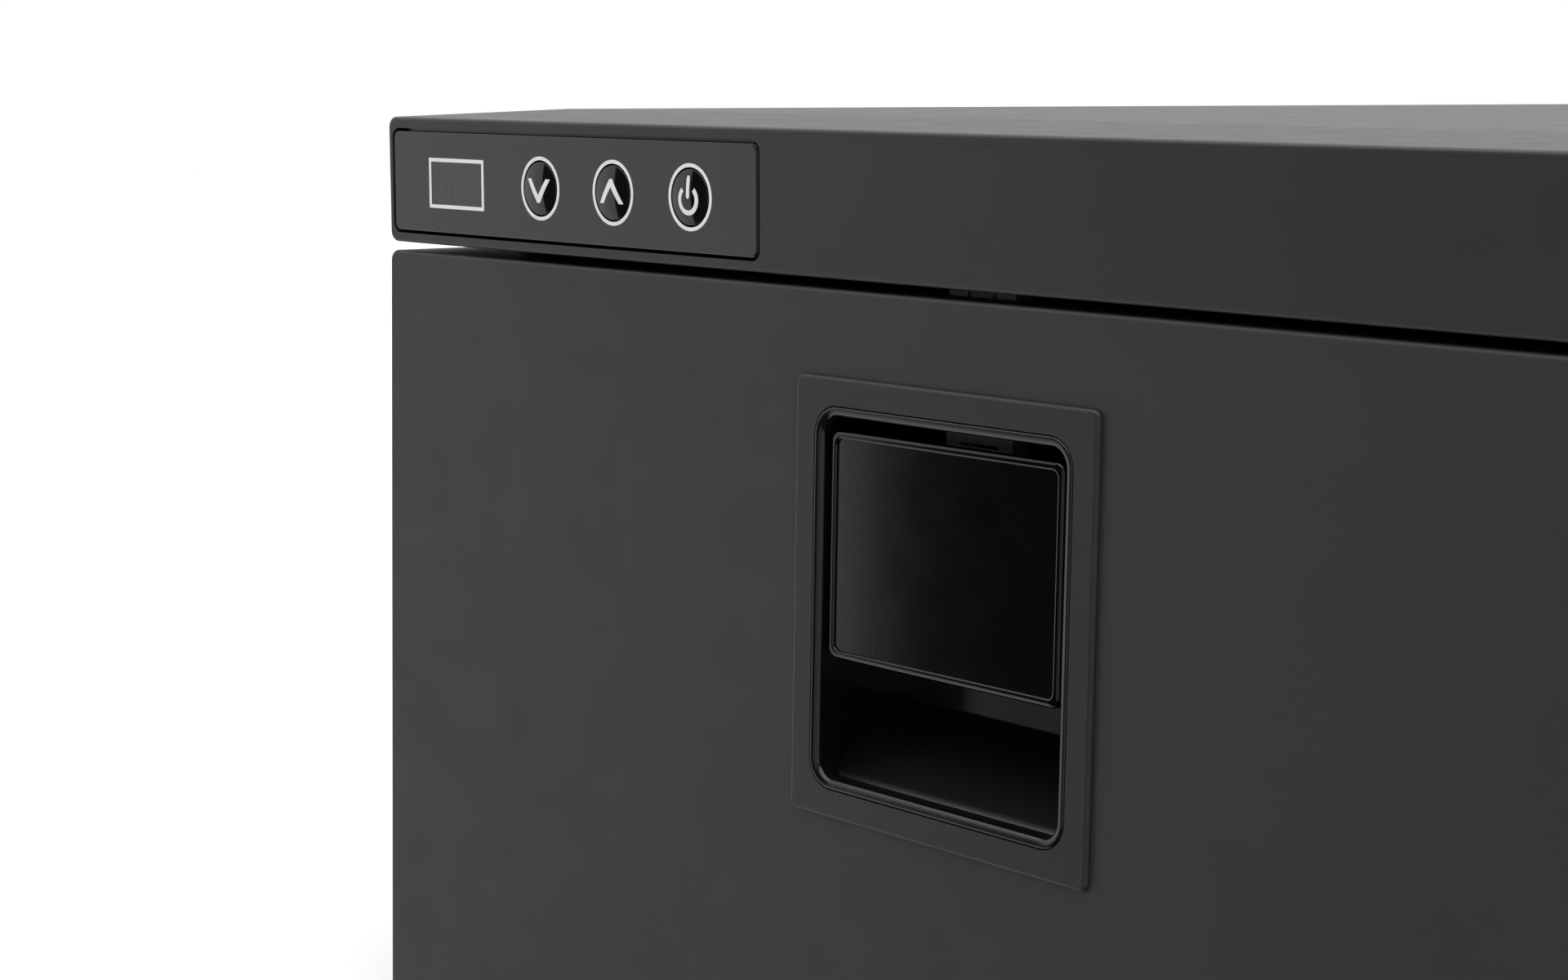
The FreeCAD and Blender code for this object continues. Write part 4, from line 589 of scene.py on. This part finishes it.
# The seven bars of a digit: both ends of each, in shares of its width and height.
SEGMENT_ENDS = (((0, 0), (1, 0)), ((0, 0.5), (1, 0.5)), ((0, 1), (1, 1)),
                ((0, 0), (0, 0.5)), ((0, 0.5), (0, 1)), ((1, 0), (1, 0.5)), ((1, 0.5), (1, 1)))


def segment_rows(start, end):
    """The two long edges of a bar that is pointed at both ends."""
    run = (end - start).normalized()
    side = Vector((-run.y, run.x)) * SEGMENT / 2
    first = start + run * SEGMENT * SEGMENT_GAP
    last = end - run * SEGMENT * SEGMENT_GAP
    shoulder = run * SEGMENT / 3
    return [[tuple(first + edge * SEGMENT_POINT), tuple(first + shoulder + edge),
             tuple(last - shoulder + edge), tuple(last + edge * SEGMENT_POINT)] for edge in (-side, side)]


def make_digits(finish):
    """Three unlit seven-segment digits on the display, seen faintly through the smoked window."""
    x_middle, z_middle = middle_of("display_window")
    bm = bmesh.new()
    for place in (-1, 0, 1):
        for shares in SEGMENT_ENDS:
            ends = []
            for share_x, share_z in shares:
                z = (share_z - 0.5) * DIGIT_HEIGHT
                x = place * DIGIT_PITCH + (share_x - 0.5) * DIGIT_WIDTH + z * DIGIT_SLANT
                ends.append(Vector((x_middle + x, z_middle + z)))
            slab(bm, segment_rows(*ends), lambda px, pz: DIGIT_DEPTH, closed=False)
    new_piece("display_digits", bm, finish["digit"], "cabinet")


# ---------------------------------------------------------------- stage

FLOOR_SIZE = 6.0
WHITE_FROM = math.radians(47.35)
EDGE_BLUR = 0.012
WHITE_LEVEL = 1.0
SOFTBOX_FROM = 0.60
SOFTBOX_FULL = 0.75
SOFTBOX_LEVEL = 2.2
RIGHT_LEVEL = 0.6
FRONT_LEVEL = 0.45
DARK_LEVEL = 0.035
RIGHT_SIDE = (0.92, -0.39, 0)
FRONT_SIDE = (0.5, -0.866, 0)


def make_stage():
    """Pale floor that reflections pass through, so that the fronts mirror the studio and not the floor."""
    floor_mesh = bpy.data.meshes.new("floor")
    corners = [(x * FLOOR_SIZE, y * FLOOR_SIZE, 0) for x, y in ((-1, -1), (1, -1), (1, 1), (-1, 1))]
    floor_mesh.from_pydata(corners, [], [(0, 1, 2, 3)])
    floor = bpy.data.objects.new("floor", floor_mesh)
    material, tree, shader = node_material("floor")
    clouds = texture(tree, "ShaderNodeTexNoise", 3, 2.0)
    vary_colour(tree, shader, clouds, (0.86, 0.86, 0.86), (0.9, 0.9, 0.9))
    shader.inputs["Roughness"].default_value = 0.8
    floor_mesh.materials.append(material)
    scene.collection.objects.link(floor)
    floor.visible_glossy = False
    scene.view_settings.view_transform = "Standard"


def make_studio():
    """White studio at the left and behind, soft box overhead, two dim lights in front, dark room."""
    world = bpy.data.worlds.new("studio")
    world.use_nodes = True
    tree = world.node_tree
    white_side = (-math.cos(WHITE_FROM), math.sin(WHITE_FROM), 0)
    behind = ramp_between(tree, along(tree, white_side), -EDGE_BLUR, EDGE_BLUR)
    above = ramp_between(tree, along(tree, (0, 0, 1)), SOFTBOX_FROM, SOFTBOX_FULL)
    right = ramp_between(tree, along(tree, RIGHT_SIDE), 0.86, 0.93)
    glow = combine(tree, "MULTIPLY", behind, WHITE_LEVEL)
    glow = combine(tree, "MAXIMUM", glow, combine(tree, "MULTIPLY", above, SOFTBOX_LEVEL))
    glow = combine(tree, "MAXIMUM", glow, combine(tree, "MULTIPLY", right, RIGHT_LEVEL))
    front = ramp_between(tree, along(tree, FRONT_SIDE), 0.78, 0.9)
    glow = combine(tree, "MAXIMUM", glow, combine(tree, "MULTIPLY", front, FRONT_LEVEL))
    glow = combine(tree, "MAXIMUM", glow, DARK_LEVEL)
    tree.links.new(glow, tree.nodes["Background"].inputs["Strength"])
    tree.nodes["Background"].inputs["Color"].default_value = (1, 1, 1, 1)
    scene.world = world


make_camera()
finishes = make_materials()
dress_nodes(finishes)
make_rings(finishes)
make_buttons(finishes)
make_digits(finishes)
make_stage()
make_studio()
